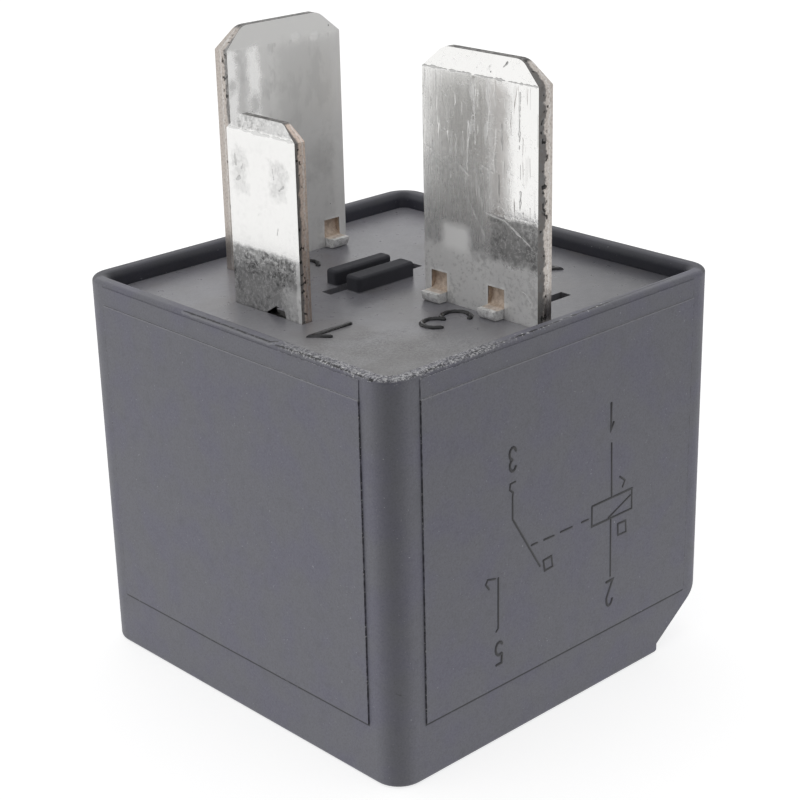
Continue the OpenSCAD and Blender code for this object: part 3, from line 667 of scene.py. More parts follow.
# The common blade: tarnish and painted reflections, then scratches, drips, facet edge, dots and a
# curl.
COMMON_TARNISH_AND_REFLECTIONS: tuple[Patch, ...] = (
    Patch((-5.5, -0.9), (3.6, 6.35), 0.38, 0.15, 0.2, 0.9, mottle=0.6),
    Patch((-2.5, -0.7), (6.5, 14.4), 0.97, 0.5, 0.25, 0.6, milky=0.4),
    Patch((-0.9, 5.5), (-1.0, 9.5), 0.72, 0.8, 0.5, 0.7, mottle=0.25, milky=0.2),
    Patch((-5.5, 5.5), (-1.0, 3.6), 0.85, 0.4, 0.5, 0.8, mottle=0.35, milky=0.55),
    Patch((0.9, 3.1), (3.5, 5.1), 0.98, 0.42, 0.12, 1.0, milky=0.75),
)
SCRATCHES: Lines = (
    ((1.57, 8.91), (0.69, 8.29)), ((-0.11, 9.27), (-1.15, 8.94)), ((1.06, 7.14), (-0.43, 4.93)),
    ((-0.53, 6.39), (-2.09, 6.17), (-4.14, 5.02)), ((4.54, 9.72), (3.91, 9.43)),
)
DRIPS: Lines = (
    ((-1.85, 11.9), (-1.9, 10.4)), ((-3.3, 14.0), (-3.25, 10.7)), ((-1.6, 8.8), (-1.65, 7.2)),
    ((-3.35, 8.1), (-3.3, 7.0)),
)
COMMON_MARKS: tuple[Mark, ...] = (
    *(Mark(line, 0.98, 0.05, 0.75, 0.3) for line in SCRATCHES),
    *(Mark(line, 0.42, 0.06, 0.5, 0.35) for line in DRIPS),
    Mark(((-4.75, 14.5), (4.75, 14.55)), 0.3, 0.06, 0.6, 0.1),
    Mark(((-0.4, 14.8), (-1.0, 15.3), (-1.5, 14.9), (-2.1, 15.5)), 0.1, 0.1, 0.8, 0.5),
    Mark(((-3.5, 2.1), (-3.9, 2.0), (-4.3, 1.5), (-4.2, 1.1)), 0.98, 0.06, 0.7, 0.0),
)

# The switched blade: tarnish and painted reflections, and bright spots.
SWITCHED_TARNISH_AND_REFLECTIONS: tuple[Patch, ...] = (
    Patch((-4.9, -4.0), (9.7, 14.4), 0.99, 0.3, 0.35, 0.95, milky=-0.3, rough=-0.22),
    Patch((-3.2, -2.1), (9.4, 14.4), 0.99, 0.35, 0.3, 0.95, milky=-0.3, rough=-0.22),
    Patch((-5.0, -1.0), (8.8, 14.4), 0.97, 0.6, 0.4, 0.5, milky=0.14),
    Patch((-3.0, -2.3), (10.2, 11.4), 0.6, 0.35, 0.3, 0.5, rough=0.1),
    Patch((-4.7, -4.2), (11.8, 12.6), 0.6, 0.3, 0.3, 0.5, rough=0.1),
    Patch((-0.7, 5.5), (7.0, 14.3), 0.78, 0.5, 0.4, 0.7, milky=0.05),
    Patch((-5.5, 5.5), (-1.0, 9.0), 0.85, 0.8, 0.8, 0.7, mottle=0.12, milky=0.42),
    Patch((1.6, 4.0), (5.2, 7.2), 0.5, 0.8, 0.6, 0.4),
    Patch((3.9, 5.5), (-1.0, 14.3), 0.9, 0.25, 0.1, 0.5, milky=0.2),
)
SWITCHED_MARKS: tuple[Mark, ...] = (
    Mark(((2.49, 14.4), (2.74, 14.4)), 0.98, 0.35, 0.7, 0.0),
    Mark(((0.85, 14.56), (1.1, 14.56)), 0.98, 0.35, 0.7, 0.0),
)

# The coil blades: tarnish and painted reflections, darkest low down, and fine dark marks.
COIL_TARNISH_AND_REFLECTIONS: tuple[Patch, ...] = (
    Patch((-4.5, 4.5), (-1.0, 3.9), 0.4, 0.2, 0.14, 1.0, mottle=0.8),
    Patch((-4.5, 4.5), (-1.0, 1.9), 0.5, 0.6, 0.5, 0.8, mottle=0.45, milky=0.16),
    Patch((-4.5, -2.78), (-1.0, 3.9), 0.95, 0.08, 0.1, 0.6, milky=0.4),
    Patch((-4.5, -1.5), (-1.0, 2.2), 0.92, 0.5, 0.4, 0.5, mottle=0.5, milky=0.3),
    Patch((1.41, 2.68), (7.2, 10.0), 0.62, 0.25, 0.35, 0.5, mottle=0.35),
    Patch((-2.3, -0.8), (7.4, 9.65), 0.62, 0.25, 0.35, 0.5, mottle=0.35),
    Patch((-4.5, 4.5), (3.9, 11.0), 0.86, 0.3, 0.3, 0.25, mottle=0.25),
    Patch((-4.5, 4.5), (11.3, 13.0), 0.6, 0.1, 0.1, 0.85, mottle=0.6),
)
TICKS: Lines = (
    ((2.5, 9.6), (2.4, 8.9)), ((1.7, 9.2), (1.9, 8.8)), ((2.1, 8.2), (2.4, 8.0)),
    ((-1.0, 9.3), (-1.1, 8.6)), ((-2.0, 8.3), (-1.6, 8.0)), ((-1.3, 5.6), (-1.2, 5.2)),
    ((0.4, 6.4), (0.5, 6.1)),
)
COIL_MARKS: tuple[Mark, ...] = (
    *(Mark(line, 0.4, 0.045, 0.5, 0.1) for line in TICKS),
    Mark(((-3.15, 11.15), (3.15, 11.2)), 0.55, 0.06, 0.5, 0.2),
)


@dataclass(frozen=True)
class TinPlate(Finish):
    """Bright tin over copper alloy: areas of tarnish and painted reflection, fine marks, sheared
    edges, bare barbs.
    """

    centre: Point2
    thickness: float
    along_y: bool = True
    bright: Colour = (0.93, 0.925, 0.91)
    streaked: Colour = (0.6, 0.597, 0.588)
    scratched: Colour = (0.4, 0.39, 0.38)
    clouded: Colour = (0.45, 0.447, 0.44)
    streaks: float = 0.5
    drips: float = 0.0
    clouds: float = 0.0
    facet: float = 14.5
    scuffs: float = 0.0
    metallic: float = 1.0
    roughness: float = 0.16
    patches: tuple[Patch, ...] = ()
    marks: tuple[Mark, ...] = ()
    pits: float = 0.1
    barbs: tuple[float, ...] = ()
    copper_edge: float = 0.3
    edge_tone: float = 1.0
    torn_tone: float = 0.035
    torn_share: float = -0.1
    jagged: float = 0.5
    notch: float = 0.0

    def surface(self, g: Graph) -> Surface:
        """Builds the plate up: runs, scuffs, tarnish and painted reflections, marks, pits, edges
        and barbs.

        Args:
            g: the material's graph.

        Returns: the surface.
        """
        at = BladeMap(g, self.centre, self.along_y)
        look = self.plate(g, at)
        if self.drips:
            self.add_drips(g, at, look)
        if self.scuffs:
            self.add_scuffs(g, at, look)
        # Areas of tarnish and painted reflection.
        for patch in self.patches:
            self.add_patch(g, at, look, patch)
        for mark in self.marks:
            self.add_mark(g, at, look, mark)
        pits = g.specks(2.2, 0.06, self.pits)
        look.cover(pits * 0.7, (0.12, 0.115, 0.11))
        look.height -= pits * 1.5
        self.add_edge(g, at, look)
        if self.barbs:
            self.add_barbs(g, at, look)
        look.roughness = look.roughness.high(0.06)
        look.metallic = look.metallic.clamp()
        return look

    def plate(self, g: Graph, at: BladeMap) -> Surface:
        """Starts with the bare plate, its streaks and its clouds.

        Args:
            g: the material's graph.
            at: places on the blade.

        Returns: the surface.
        """
        clean = 1.0 - at.u.smooth(-0.8, -1.3) * at.h.smooth(6.0, 6.5) * self.drips * 0.92
        below = at.h.smooth(self.facet, self.facet - 0.1) * clean
        rough = self.roughness + at.hair * (0.1 * self.streaks) + 0.02 - (1.0 - clean) * 0.12
        height = (at.hair * 0.5 + at.streak * 0.5) * clean * self.streaks + at.cloud * 1.2
        look = Surface(self.bright, rough, g.constant(self.metallic), height, 0.012)
        look.cover(at.streak.smooth(0.42, 0.7) * below * (0.5 * self.streaks), self.streaked)
        look.cover(at.hair.smooth(0.55, 0.8) * below * (0.3 * self.streaks), self.scratched)
        if self.clouds:
            bank = g.noise(0.7, 4.0, g.stretched(1.0, 1.0, 0.5), 0.6).smooth(0.5, 0.62)
            look.cover(bank * below * at.front * self.clouds, self.clouded)
        return look

    def add_drips(self, g: Graph, at: BladeMap, look: Surface) -> None:
        """Adds dried runs and shining streaks to the upper part.

        Args:
            g: the material's graph.
            at: places on the blade.
            look: the surface, which is changed.
        """
        run = abs(g.noise(1.5, 1.5, g.stretched(1.0, 1.0, 0.055), 0.5) - 0.5).smooth(0.03, 0.01)
        ends = g.noise(1.5, 2.0, g.stretched(1.0, 1.0, 0.3)).smooth(0.5, 0.56)
        run = run * ends * at.h.smooth(6.2, 7.0) * at.h.smooth(14.5, 14.2) * self.drips
        grey_side = at.u.smooth(-1.2, -0.9)
        look.cover(run * 0.3, (0.62, 0.615, 0.6))
        shine = at.streak.smooth(0.5, 0.6) * ends * at.h.smooth(7.5, 10.0)
        shine = shine * at.h.smooth(14.5, 14.2) * self.drips
        look.cover(shine * 0.6, (0.97, 0.97, 0.96))
        look.metallic -= shine * grey_side * 0.4
        look.height -= run * grey_side.spread(0.22, 0.8)

    def add_scuffs(self, g: Graph, at: BladeMap, look: Surface) -> None:
        """Adds fine curled scratches, and light grains low down.

        Args:
            g: the material's graph.
            at: places on the blade.
            look: the surface, which is changed.
        """
        nicks = abs(g.noise(2.1, 1.0) - 0.5).smooth(0.014, 0.005)
        nicks *= g.noise(0.9, 2.0).smooth(0.46, 0.56)
        nicks = nicks.high(g.noise(5.0, 2.0).smooth(0.64, 0.69) * at.h.smooth(10.0, 4.0))
        look.cover(nicks * self.scuffs, (0.95, 0.95, 0.94))
        look.metallic -= nicks * (0.5 * self.scuffs)

    def add_patch(self, g: Graph, at: BladeMap, look: Surface, patch: Patch) -> None:
        """Adds one area of tarnish and painted reflection.

        Args:
            g: the material's graph.
            at: places on the blade.
            look: the surface, which is changed.
            patch: the area.
        """
        wave = g.noise(1.3, 5.0, rough=0.65).spread(-1.0, 1.0) * (patch.ragged * 2.0)
        (left, right), (low, high), soft = patch.u, patch.h, patch.soft
        across, up = at.u + wave, at.h + wave
        inside = across.smooth(left - soft, left + soft) * across.smooth(right + soft, right - soft)
        inside = inside * up.smooth(low - soft, low + soft) * up.smooth(high + soft, high - soft)
        inside = inside * at.front
        tone = g.grey(patch.tone)
        if patch.mottle:
            rough = at.fine + at.cloud * 0.5 - 0.25
            worms = abs(at.curl - 0.5).smooth(0.02, 0.006)
            light = g.grey(min(0.95, patch.tone * 2.2))
            tone = g.mix(at.fine.smooth(0.5, 0.7) * patch.mottle, tone, light)
            tone = g.mix(rough.smooth(0.5, 0.36) * patch.mottle, tone, g.grey(patch.tone * 0.3))
            tone = g.mix(worms * patch.mottle * 0.7, tone, g.grey(0.95))
        look.cover(inside * patch.strength, tone)
        look.metallic -= inside * patch.milky
        matt = (0.05 + 0.15 * patch.mottle) * patch.strength + patch.rough
        look.roughness += inside * matt
        look.height += inside * at.fine * patch.mottle

    def add_mark(self, g: Graph, at: BladeMap, look: Surface, mark: Mark) -> None:
        """Adds one fine line.

        Args:
            g: the material's graph.
            at: places on the blade.
            look: the surface, which is changed.
            mark: the line.
        """
        chain = tuple((*point, 0.0) for point in mark.points)
        near = g.line(chain, g.flat(at.u, at.h)) + at.fine * 0.1 + at.curl * 0.4 - 0.25
        line = near.smooth(mark.width, mark.width * 0.4)
        line = line * at.cloud.smooth(mark.broken, mark.broken + 0.1) * at.front
        look.cover(line * mark.strength, g.grey(mark.tone))
        look.height -= line * 1.5

    def add_edge(self, g: Graph, at: BladeMap, look: Surface) -> None:
        """Adds the punched edges, half sheared and light, half torn and dark, and the matt top with
        a painted dark reflection.

        Args:
            g: the material's graph.
            at: places on the blade.
            look: the surface, which is changed.
        """
        grain = g.noise(7.0, 4.0)
        torn_at = at.v * BLADE_FRONT + g.noise(1.6, 5.0, rough=0.65) * self.jagged
        torn_at = torn_at - self.jagged / 2 + self.torn_share
        torn = torn_at.smooth(-0.08, 0.08)
        tones = ((0.52, 0.4, 0.33), (0.26, 0.22, 0.2), (0.6, 0.58, 0.55), (0.2, 0.185, 0.175))
        copper, crumb, steel, rust = (shaded(colour, self.edge_tone) for colour in tones)
        dark = g.mix(at.fine.smooth(0.35, 0.65), g.grey(self.torn_tone * self.edge_tone), rust)
        light = g.mix(self.copper_edge, steel, copper)
        light = g.mix(grain.smooth(0.45, 0.7) * 0.5, light, crumb)
        # Burr along the sheared side, with a painted highlight.
        burr_highlight = (torn_at + grain * 0.3 - 0.15).near(-0.35, 0.02, 0.04) * 0.5
        cut = Surface(g.mix(torn, g.mix(burr_highlight, light, g.grey(0.85)), dark), torn.spread(0.3, 0.55))
        holes = g.noise(2.6, 3.0).smooth(0.58, 0.63) * torn_at.near(0.05, 0.2, 0.1)
        cut.cover(holes * 0.9, g.grey(0.012))
        if self.notch:
            inner = at.h.smooth(self.notch + 0.1, self.notch) * abs(at.u).smooth(3.0, 2.9)
            cut.cover(inner, g.grey(0.03))
        look.colour = g.mix(at.broad, cut.colour, look.colour)
        narrow = 1.0 - at.broad
        look.roughness = cut.roughness * narrow + look.roughness * at.broad
        look.height = (at.fine * torn * 4.0 + grain) * narrow + look.height * at.broad
        # Painted dark reflection on the matt top.
        top = g.nz.smooth(0.8, 0.95) * at.h.smooth(10.0, 11.0)
        look.cover(top, g.mix(at.fine.smooth(0.4, 0.65), (0.07, 0.068, 0.066), (0.3, 0.29, 0.28)))
        look.roughness = look.roughness * (1.0 - top) + top * 0.5

    def add_barbs(self, g: Graph, at: BladeMap, look: Surface) -> None:
        """Adds the barbs' bright chips, bare copper grooves and the burr round them, with a painted
        highlight on the burr.

        Args:
            g: the material's graph.
            at: places on the blade.
            look: the surface, which is changed.
        """
        depth, offset = at.v * BLADE_FRONT, abs(at.u - self.barbs[0]).low(abs(at.u - self.barbs[1]))
        chip = (depth / self.thickness).smooth(0.51, 0.56) * at.h.smooth(2.4, 2.2)
        look.cover(chip, g.mix(at.fine.smooth(0.4, 0.6), (0.66, 0.655, 0.645), CHIP_AND_HIGHLIGHT_WHITE))
        groove = at.h.smooth(0.62, 0.7) * at.h.smooth(1.84, 1.76) * depth.smooth(0.58, 0.5)
        ledge = at.h.smooth(0.6, 0.68) * at.h.smooth(1.25, 0.95) * depth.smooth(1.3, 1.1)
        bare = offset.smooth(0.71, 0.67) * groove.high(ledge) * depth.smooth(0.0, 0.1)
        copper = g.mix(at.fine.smooth(0.35, 0.65), (0.52, 0.39, 0.29), (0.8, 0.66, 0.54))
        look.cover(bare * 0.9, copper)
        look.metallic = look.metallic - bare * 0.7 - chip * 0.5
        # Painted highlight on the burr along the barbs' sides and top.
        side = offset.near(0.74, 0.03, 0.06) * at.h.smooth(0.1, 0.4) * at.h.smooth(1.95, 1.85)
        lid = at.h.near(1.92, 0.04, 0.06) * offset.smooth(0.8, 0.7)
        burr_highlight = (side * 0.7).high(lid) * g.noise(2.2, 3.0).smooth(0.32, 0.6)
        burr_highlight = burr_highlight * (0.4 + at.fine * 0.6) * at.broad * at.front
        look.cover(burr_highlight, CHIP_AND_HIGHLIGHT_WHITE)
        look.metallic -= burr_highlight * 0.6
        look.roughness = look.roughness * (1.0 - bare) + bare * 0.35


@dataclass(frozen=True)
class PlainMetal(Finish):
    """Metal of the inner pieces: rolled, plated or cast, with a faint grain."""

    colour: Colour = (0.62, 0.62, 0.6)
    stain: Colour = (0.45, 0.44, 0.42)
    roughness: float = 0.35
    grain: Point3 = (1.0, 1.0, 1.0)

    def surface(self, g: Graph) -> Surface:
        """Builds grain and stains.

        Args:
            g: the material's graph.

        Returns: the surface.
        """
        grain = g.noise(2.4, 5.0, g.stretched(*self.grain), 0.6)
        rough = grain.spread(self.roughness - 0.1, self.roughness + 0.12)
        look = Surface(self.colour, rough, 1.0, grain, 0.008)
        look.cover(g.noise(0.4, 4.0).smooth(0.45, 0.75) * 0.7, self.stain)
        look.cover(grain.smooth(0.5, 0.8) * 0.4, shaded(self.colour, 0.7))
        return look


@dataclass(frozen=True)
class Enamel(Finish):
    """Enamelled copper wire, wound in close turns about the Z axis, with painted shade in the
    grooves between turns.
    """

    groove: Colour = (0.2, 0.06, 0.02)
    crest: Colour = (0.62, 0.24, 0.09)
    aged: Colour = (0.45, 0.13, 0.05)
    pitch: float = 0.16

    def surface(self, g: Graph) -> Surface:
        """Builds the turns of the wire.

        Args:
            g: the material's graph.

        Returns: the surface.
        """
        wave = g.math("SINE", g.z * (2 * math.pi / self.pitch) + g.noise(0.3, 2.0) * 4.0)
        turns = wave.spread(0.5, 1.0)
        # Painted shade: darker in the grooves between turns.
        colour = g.mix(turns.clamp(), self.groove, self.crest)
        look = Surface(colour, g.noise(2.0, 3.0).spread(0.2, 0.4), 0.85, turns, 0.03)
        look.cover(g.noise(0.7, 3.0).smooth(0.5, 0.75) * 0.5, self.aged)
        return look


@dataclass(frozen=True)
class Nylon(Finish):
    """Natural nylon of the bobbin: warm off-white, slightly waxy, with flow marks."""

    colour: Colour = (0.74, 0.71, 0.62)
    stain: Colour = (0.64, 0.6, 0.5)

    def surface(self, g: Graph) -> Surface:
        """Builds the flow marks.

        Args:
            g: the material's graph.

        Returns: the surface.
        """
        flow = g.noise(0.5, 4.0, g.stretched(1.0, 1.0, 0.3))
        colour = g.mix(flow.smooth(0.4, 0.7), self.colour, self.stain)
        return Surface(colour, flow.spread(0.35, 0.5), 0.0, g.noise(3.0, 3.0), 0.006)


# ---------------- raised lines


def arc(centre: Point2, radius: float, start: float, end: float, steps: int = 6) -> list[Point2]:
    """Returns: places on an arc, with angles in degrees from the right."""
    angles = [math.radians(start + (end - start) * i / steps) for i in range(steps + 1)]
    return [(centre[0] + radius * math.cos(a), centre[1] + radius * math.sin(a)) for a in angles]


GLYPHS: dict[str, list[list[Point2]]] = {
    "1": [[(-0.2, 0.26), (0.08, 0.5), (0.08, -0.5)]],
    "2": [arc((0.0, 0.24), 0.26, 170, -20) + [(-0.27, -0.5), (0.29, -0.5)]],
    "3": [arc((0.0, 0.26), 0.24, 160, -80, 8), arc((0.0, -0.24), 0.26, 80, -160, 8)],
    "5": [
        [(0.24, 0.5), (-0.18, 0.5), (-0.22, 0.08)],
        [(-0.22, 0.08)] + arc((0.0, -0.2), 0.29, 120, -145, 9),
    ],
}


@dataclass(frozen=True)
class Sign:
    """One number on a surface: where its middle is, how tall and how slim it is."""

    glyph: str
    centre: Point2
    height: float
    slim: float = 1.0

    def strokes(self) -> list[list[Point2]]:
        """Returns: the glyph's strokes in its surface's millimetres."""
        (x, y), wide, tall = self.centre, self.height * self.slim, self.height
        return [[(x + a * wide, y + b * tall) for a, b in stroke] for stroke in GLYPHS[self.glyph]]


# Numbers at the ends of the wiring, upside down on the panel.
WIRE_NUMBERS: tuple[Sign, ...] = (
    Sign("3", (4.63, -18.47), 1.5, 0.72),
    Sign("1", (-4.22, -18.57), 1.75, 0.5),
    Sign("2", (-4.32, -6.4), 1.75, 0.62),
    Sign("5", (5.82, -6.15), 1.5, 0.72),
)

# Numbers beside the blades.
BLADE_NUMBERS: tuple[Sign, ...] = (
    Sign("1", (-3.44, 8.55), 3.06),
    Sign("3", (-6.94, 2.56), 3.5),
    Sign("5", (7.75, 1.75), 3.2),
    Sign("2", (-4.3, -7.95), 3.2),
)

# Wiring in X and Z: contact arm, upper and lower lead, arrow, slash, terminal, hook, boxes, link.
WIRING: Lines = (
    (
        (-4.42, 16.98), (-4.84, 16.95), (-4.9, 16.6), (-4.6, 16.35), (-4.65, 16.1),
        (-4.65, 14.63), (-4.45, 14.3), (-2.24, 10.69),
    ),
    ((4.24, 16.76), (4.35, 13.1)),
    ((4.3, 11.6), (4.38, 7.6)),
    ((5.11, 14.24), (5.6, 13.85), (5.39, 13.46)),
    ((4.07, 11.75), (6.15, 12.62)),
    ((-5.89, 11.2), (-5.9, 7.86), (-6.08, 7.69)),
    ((-6.15, 11.25), (-6.8, 11.4), (-6.95, 11.15), (-6.68, 10.75)),
    ((2.5, 13.06), (6.3, 13.06), (6.33, 11.65), (2.5, 11.68), (2.5, 13.06)),
    ((5.0, 11.02), (5.75, 11.0), (5.83, 10.2), (5.04, 10.24), (5.0, 11.02)),
    ((-1.94, 10.95), (-1.22, 11.0), (-1.08, 10.25), (-1.8, 10.22), (-1.94, 10.95)),
    ((-3.0, 12.35), (-2.49, 12.34)), ((-1.89, 12.32), (-1.0, 12.29)),
    ((-0.39, 12.32), (0.65, 12.31)), ((1.54, 12.31), (2.15, 12.29)),
)

# Section of a raised line, in widths across and rises up.
SECTION: tuple[Point2, ...] = (
    (-0.5, -0.4), (-0.46, 0.35), (-0.26, 0.85), (0.0, 1.0), (0.26, 0.85), (0.46, 0.35), (0.5, -0.4),
)


@dataclass
class Relief:
    """Raised lines on one flat surface, all in one mesh. Each end has one smaller ring."""

    name: str
    face: Face
    level: float
    width: float
    rise: float
    finish: Finish
    slot: str
    strokes: Sequence[Sequence[Point2]]
    end_reach: float = 0.4
    end_width: float = 0.55
    end_rise: float = 0.6
    sharpest: float = 0.5

    def build(self) -> bpy.types.Object:
        """Builds the mesh and lets it ride on the housing.

        Returns: the new piece.
        """
        mesh = bmesh.new()
        for stroke in self.strokes:
            self.ridge(mesh, stroke)
        piece = new_piece(self.name, mesh, self.finish)
        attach(piece, Body.HOUSING.value)
        LOG.info("%s: %d strokes, %d faces", self.name, len(self.strokes), len(piece.data.polygons))
        return piece

    def at(self, place: Point2, lift: float) -> Vector:
        """Returns: a place on the surface, lifted off it, in metres."""
        right, up, out = (Vector(axis) for axis in self.face.value)
        return (right * place[0] + up * place[1] + out * (self.level + lift)) * MM

    def ridge(self, mesh: bmesh.types.BMesh, stroke: Sequence[Point2]) -> None:
        """Adds one line with a rounded section and round ends.

        Args:
            mesh: the mesh it goes into.
            stroke: the line's places on the surface.
        """
        points = [Vector(place) for place in stroke]
        rings: list[list[bmesh.types.BMVert]] = []
        for i, point in enumerate(points):
            before = (point - points[i - 1]).normalized() if i else None
            after = (points[i + 1] - point).normalized() if i < len(points) - 1 else None
            run = ((before or after) + (after or before)).normalized()
            side = Vector((-run.y, run.x))
            stretch = 1.0 / max(self.sharpest, run.dot(after or before))
            reach = run * self.width * self.end_reach
            if before is None:
                rings.append(self.ring(mesh, point - reach, side * self.end_width, self.end_rise))
            rings.append(self.ring(mesh, point, side * stretch, 1.0))
            if after is None:
                rings.append(self.ring(mesh, point + reach, side * self.end_width, self.end_rise))
        for a, b in zip(rings, rings[1:]):
            for j in range(len(SECTION) - 1):
                mesh.faces.new((a[j], a[j + 1], b[j + 1], b[j]))
        mesh.faces.new(rings[0][::-1])
        mesh.faces.new(rings[-1])

    def ring(
        self, mesh: bmesh.types.BMesh, point: Vector, side: Vector, rise: float
    ) -> list[bmesh.types.BMVert]:
        """Adds the vertices of one section across a line.

        Args:
            mesh: the mesh they go into.
            point: the line's place.
            side: the direction across, as long as the section is wide in line widths.
            rise: the section's share of the full height.

        Returns: the vertices.
        """
        places = [point + side * (across * self.width) for across, _ in SECTION]
        lifts = [up * self.rise * rise for _, up in SECTION]
        return [mesh.verts.new(self.at((p.x, p.y), lift)) for p, lift in zip(places, lifts)]


def new_piece(name: str, mesh: bmesh.types.BMesh, finish: Finish) -> bpy.types.Object:
    """Turns a mesh into an object of the scene.

    Args:
        name: the piece's name.
        mesh: its shape in metres; it is freed.
        finish: its finish.

    Returns: the object.
    """
    bmesh.ops.recalc_face_normals(mesh, faces=mesh.faces)
    data = bpy.data.meshes.new(name)
    mesh.to_mesh(data)
    mesh.free()
    for polygon in data.polygons:
        polygon.use_smooth = True
    piece = bpy.data.objects.new(name, data)
    bpy.context.scene.collection.objects.link(piece)
    data.materials.append(finish.material())
    return piece


def dress(node: str, finish: Finish) -> None:
    """Gives a CAD node its finish.

    Args:
        node: the node's name.
        finish: its finish.
    """
    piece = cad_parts[node]
    piece.data.materials.clear()
    piece.data.materials.append(finish.material())
    LOG.info("%s: %s", node, finish.name)


# ---------------- sub-assemblies


class SubAssembly:
    """Pieces of the relay that get their looks together."""

    def dress(self) -> None:
        """Gives its CAD pieces their finishes."""
        raise NotImplementedError

    def build(self) -> None:
        """Adds pieces of its own, if it has any."""


@dataclass
class Case(SubAssembly):
    """Cap and base: their finishes, the wiring diagram and the blade numbers."""

    panel: float = 14.4

    def dress(self) -> None:
        """Gives both mouldings their finishes."""
        dress("cap", CapMoulding("cap_moulding"))
        dress("base", BaseMoulding("base_moulding"))

    def build(self) -> None:
        """Adds the raised signs."""
        ink = Moulding(
            "raised_line", (0.03, 0.03, 0.034), tint=(0.032, 0.031, 0.04), roughness=0.38, dust=0.0
        )
        gloss = Moulding(
            "raised_number", (0.008, 0.008, 0.01), tint=(0.009, 0.008, 0.012), roughness=0.14,
            grain=3.0, grain_depth=0.03, dust=0.0,
        )
        front, floor = (Face.FRONT, self.panel), (Face.FLOOR, BASE_TOP)
        numbers = [stroke for sign in WIRE_NUMBERS for stroke in sign.strokes()]
        Relief("wiring_numbers", *front, 0.2, 0.05, ink, "cap_plastic", numbers).build()
        wires = [[(-x, -z) for x, z in run] for run in WIRING]
        Relief("wiring_diagram", *front, 0.15, 0.04, ink, "cap_plastic", wires).build()
        marks = [stroke for sign in BLADE_NUMBERS for stroke in sign.strokes()]
        Relief("blade_numbers", *floor, 0.36, 0.17, gloss, "base_plastic", marks).build()


@dataclass
class Blades(SubAssembly):
    """The four blades and their finishes."""

    load_thickness: float = 1.2
    coil_thickness: float = 0.8
    load_barbs: tuple[float, float] = (3.5, -1.35)
    coil_facet: float = 11.15
    coil_notch: float = 0.6

    def dress(self) -> None:
        """Gives each blade its own tin plate."""
        common = TinPlate(
            "tin_common", (0.55, -7.35), self.load_thickness, barbs=self.load_barbs,
            patches=COMMON_TARNISH_AND_REFLECTIONS, marks=COMMON_MARKS, streaks=0.7, drips=1.0, scuffs=0.85,
            copper_edge=0.2, edge_tone=1.1, torn_tone=0.22, torn_share=-0.04, jagged=0.9,
        )
        switched = TinPlate(
            "tin_switched", (-0.25, 10.45), self.load_thickness, False, barbs=self.load_barbs,
            patches=SWITCHED_TARNISH_AND_REFLECTIONS, marks=SWITCHED_MARKS, streaks=0.3, clouds=0.45, metallic=0.7,
            roughness=0.3, torn_tone=0.4, torn_share=-0.3, pits=0.02,
        )
        coil = TinPlate(
            "tin_coil_left", (-8.6, 2.05), self.coil_thickness, patches=COIL_TARNISH_AND_REFLECTIONS,
            marks=COIL_MARKS, streaks=0.06, copper_edge=0.7, edge_tone=1.3, torn_tone=0.14,
            torn_share=-0.16, facet=self.coil_facet, pits=0.04, notch=self.coil_notch,
        )
        twin = replace(coil, name="tin_coil_right", centre=(8.6, 2.05), marks=())
        twin = replace(twin, streaks=0.3, pits=0.06)
        for number, plate in ((3, common), (5, switched), (1, coil), (2, twin)):
            dress(f"terminal_{number}", plate)


@dataclass
class Mechanism(SubAssembly):
    """Magnet, coil, armature, contacts and the leaf spring, given more rows where it leaves the
    yoke.
    """

    bend_low: float = 4.6
    bend_high: float = 9.6
    levels: int = 14

    def dress(self) -> None:
        """Gives the inner pieces their finishes."""
        iron = dict(colour=(0.62, 0.62, 0.6), stain=(0.5, 0.49, 0.46))
        dress("yoke", PlainMetal("plated_yoke", grain=(0.3, 2.0, 2.0), **iron))
        dress("core", PlainMetal("turned_core", grain=(0.5, 0.5, 4.0), **iron))
        dress("armature", PlainMetal("plated_armature", grain=(0.3, 2.0, 2.0), **iron))
        dress("bobbin", Nylon("natural_nylon"))
        dress("winding", Enamel("enamelled_winding"))
        for lead in ("coil_lead_start", "coil_lead_finish"):
            dress(lead, Enamel(lead + "_enamel", pitch=0.3))
        silver = dict(colour=(0.88, 0.87, 0.84), stain=(0.72, 0.7, 0.66), roughness=0.25)
        for contact in ("moving_contact", "fixed_contact"):
            dress(contact, PlainMetal(contact + "_silver", **silver))
        for rivets in ("yoke_rivets", "armature_rivets"):
            dress(rivets, PlainMetal(rivets + "_steel", colour=(0.68, 0.68, 0.66), roughness=0.3))
        dress("contact_spring", self.bronze())

    def bronze(self) -> Finish:
        """Returns: the rolled finish of the leaf spring."""
        tones = dict(colour=(0.68, 0.45, 0.26), stain=(0.55, 0.34, 0.2))
        return PlainMetal("spring_bronze", roughness=0.3, grain=(3.0, 3.0, 0.3), **tones)

    def build(self) -> None:
        """Builds the leaf spring with enough rows to bend where it leaves the yoke."""
        mesh = bmesh.new()
        mesh.from_mesh(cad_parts["contact_spring"].data)
        bmesh.ops.remove_doubles(mesh, verts=mesh.verts, dist=1e-7)
        step = (self.bend_high - self.bend_low) / self.levels
        for i in range(self.levels + 1):
            cut = Vector((0, 0, (self.bend_low + i * step) * MM))
            parts = [*mesh.verts, *mesh.edges, *mesh.faces]
            bmesh.ops.bisect_plane(mesh, geom=parts, plane_co=cut, plane_no=(0, 0, 1))
        piece = new_piece("bending_spring", mesh, self.bronze())
        for polygon in piece.data.polygons:
            polygon.use_smooth = False
        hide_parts("contact_spring")
        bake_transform(piece)
        LOG.info("bending_spring: %d faces", len(piece.data.polygons))


# ---------------- studio


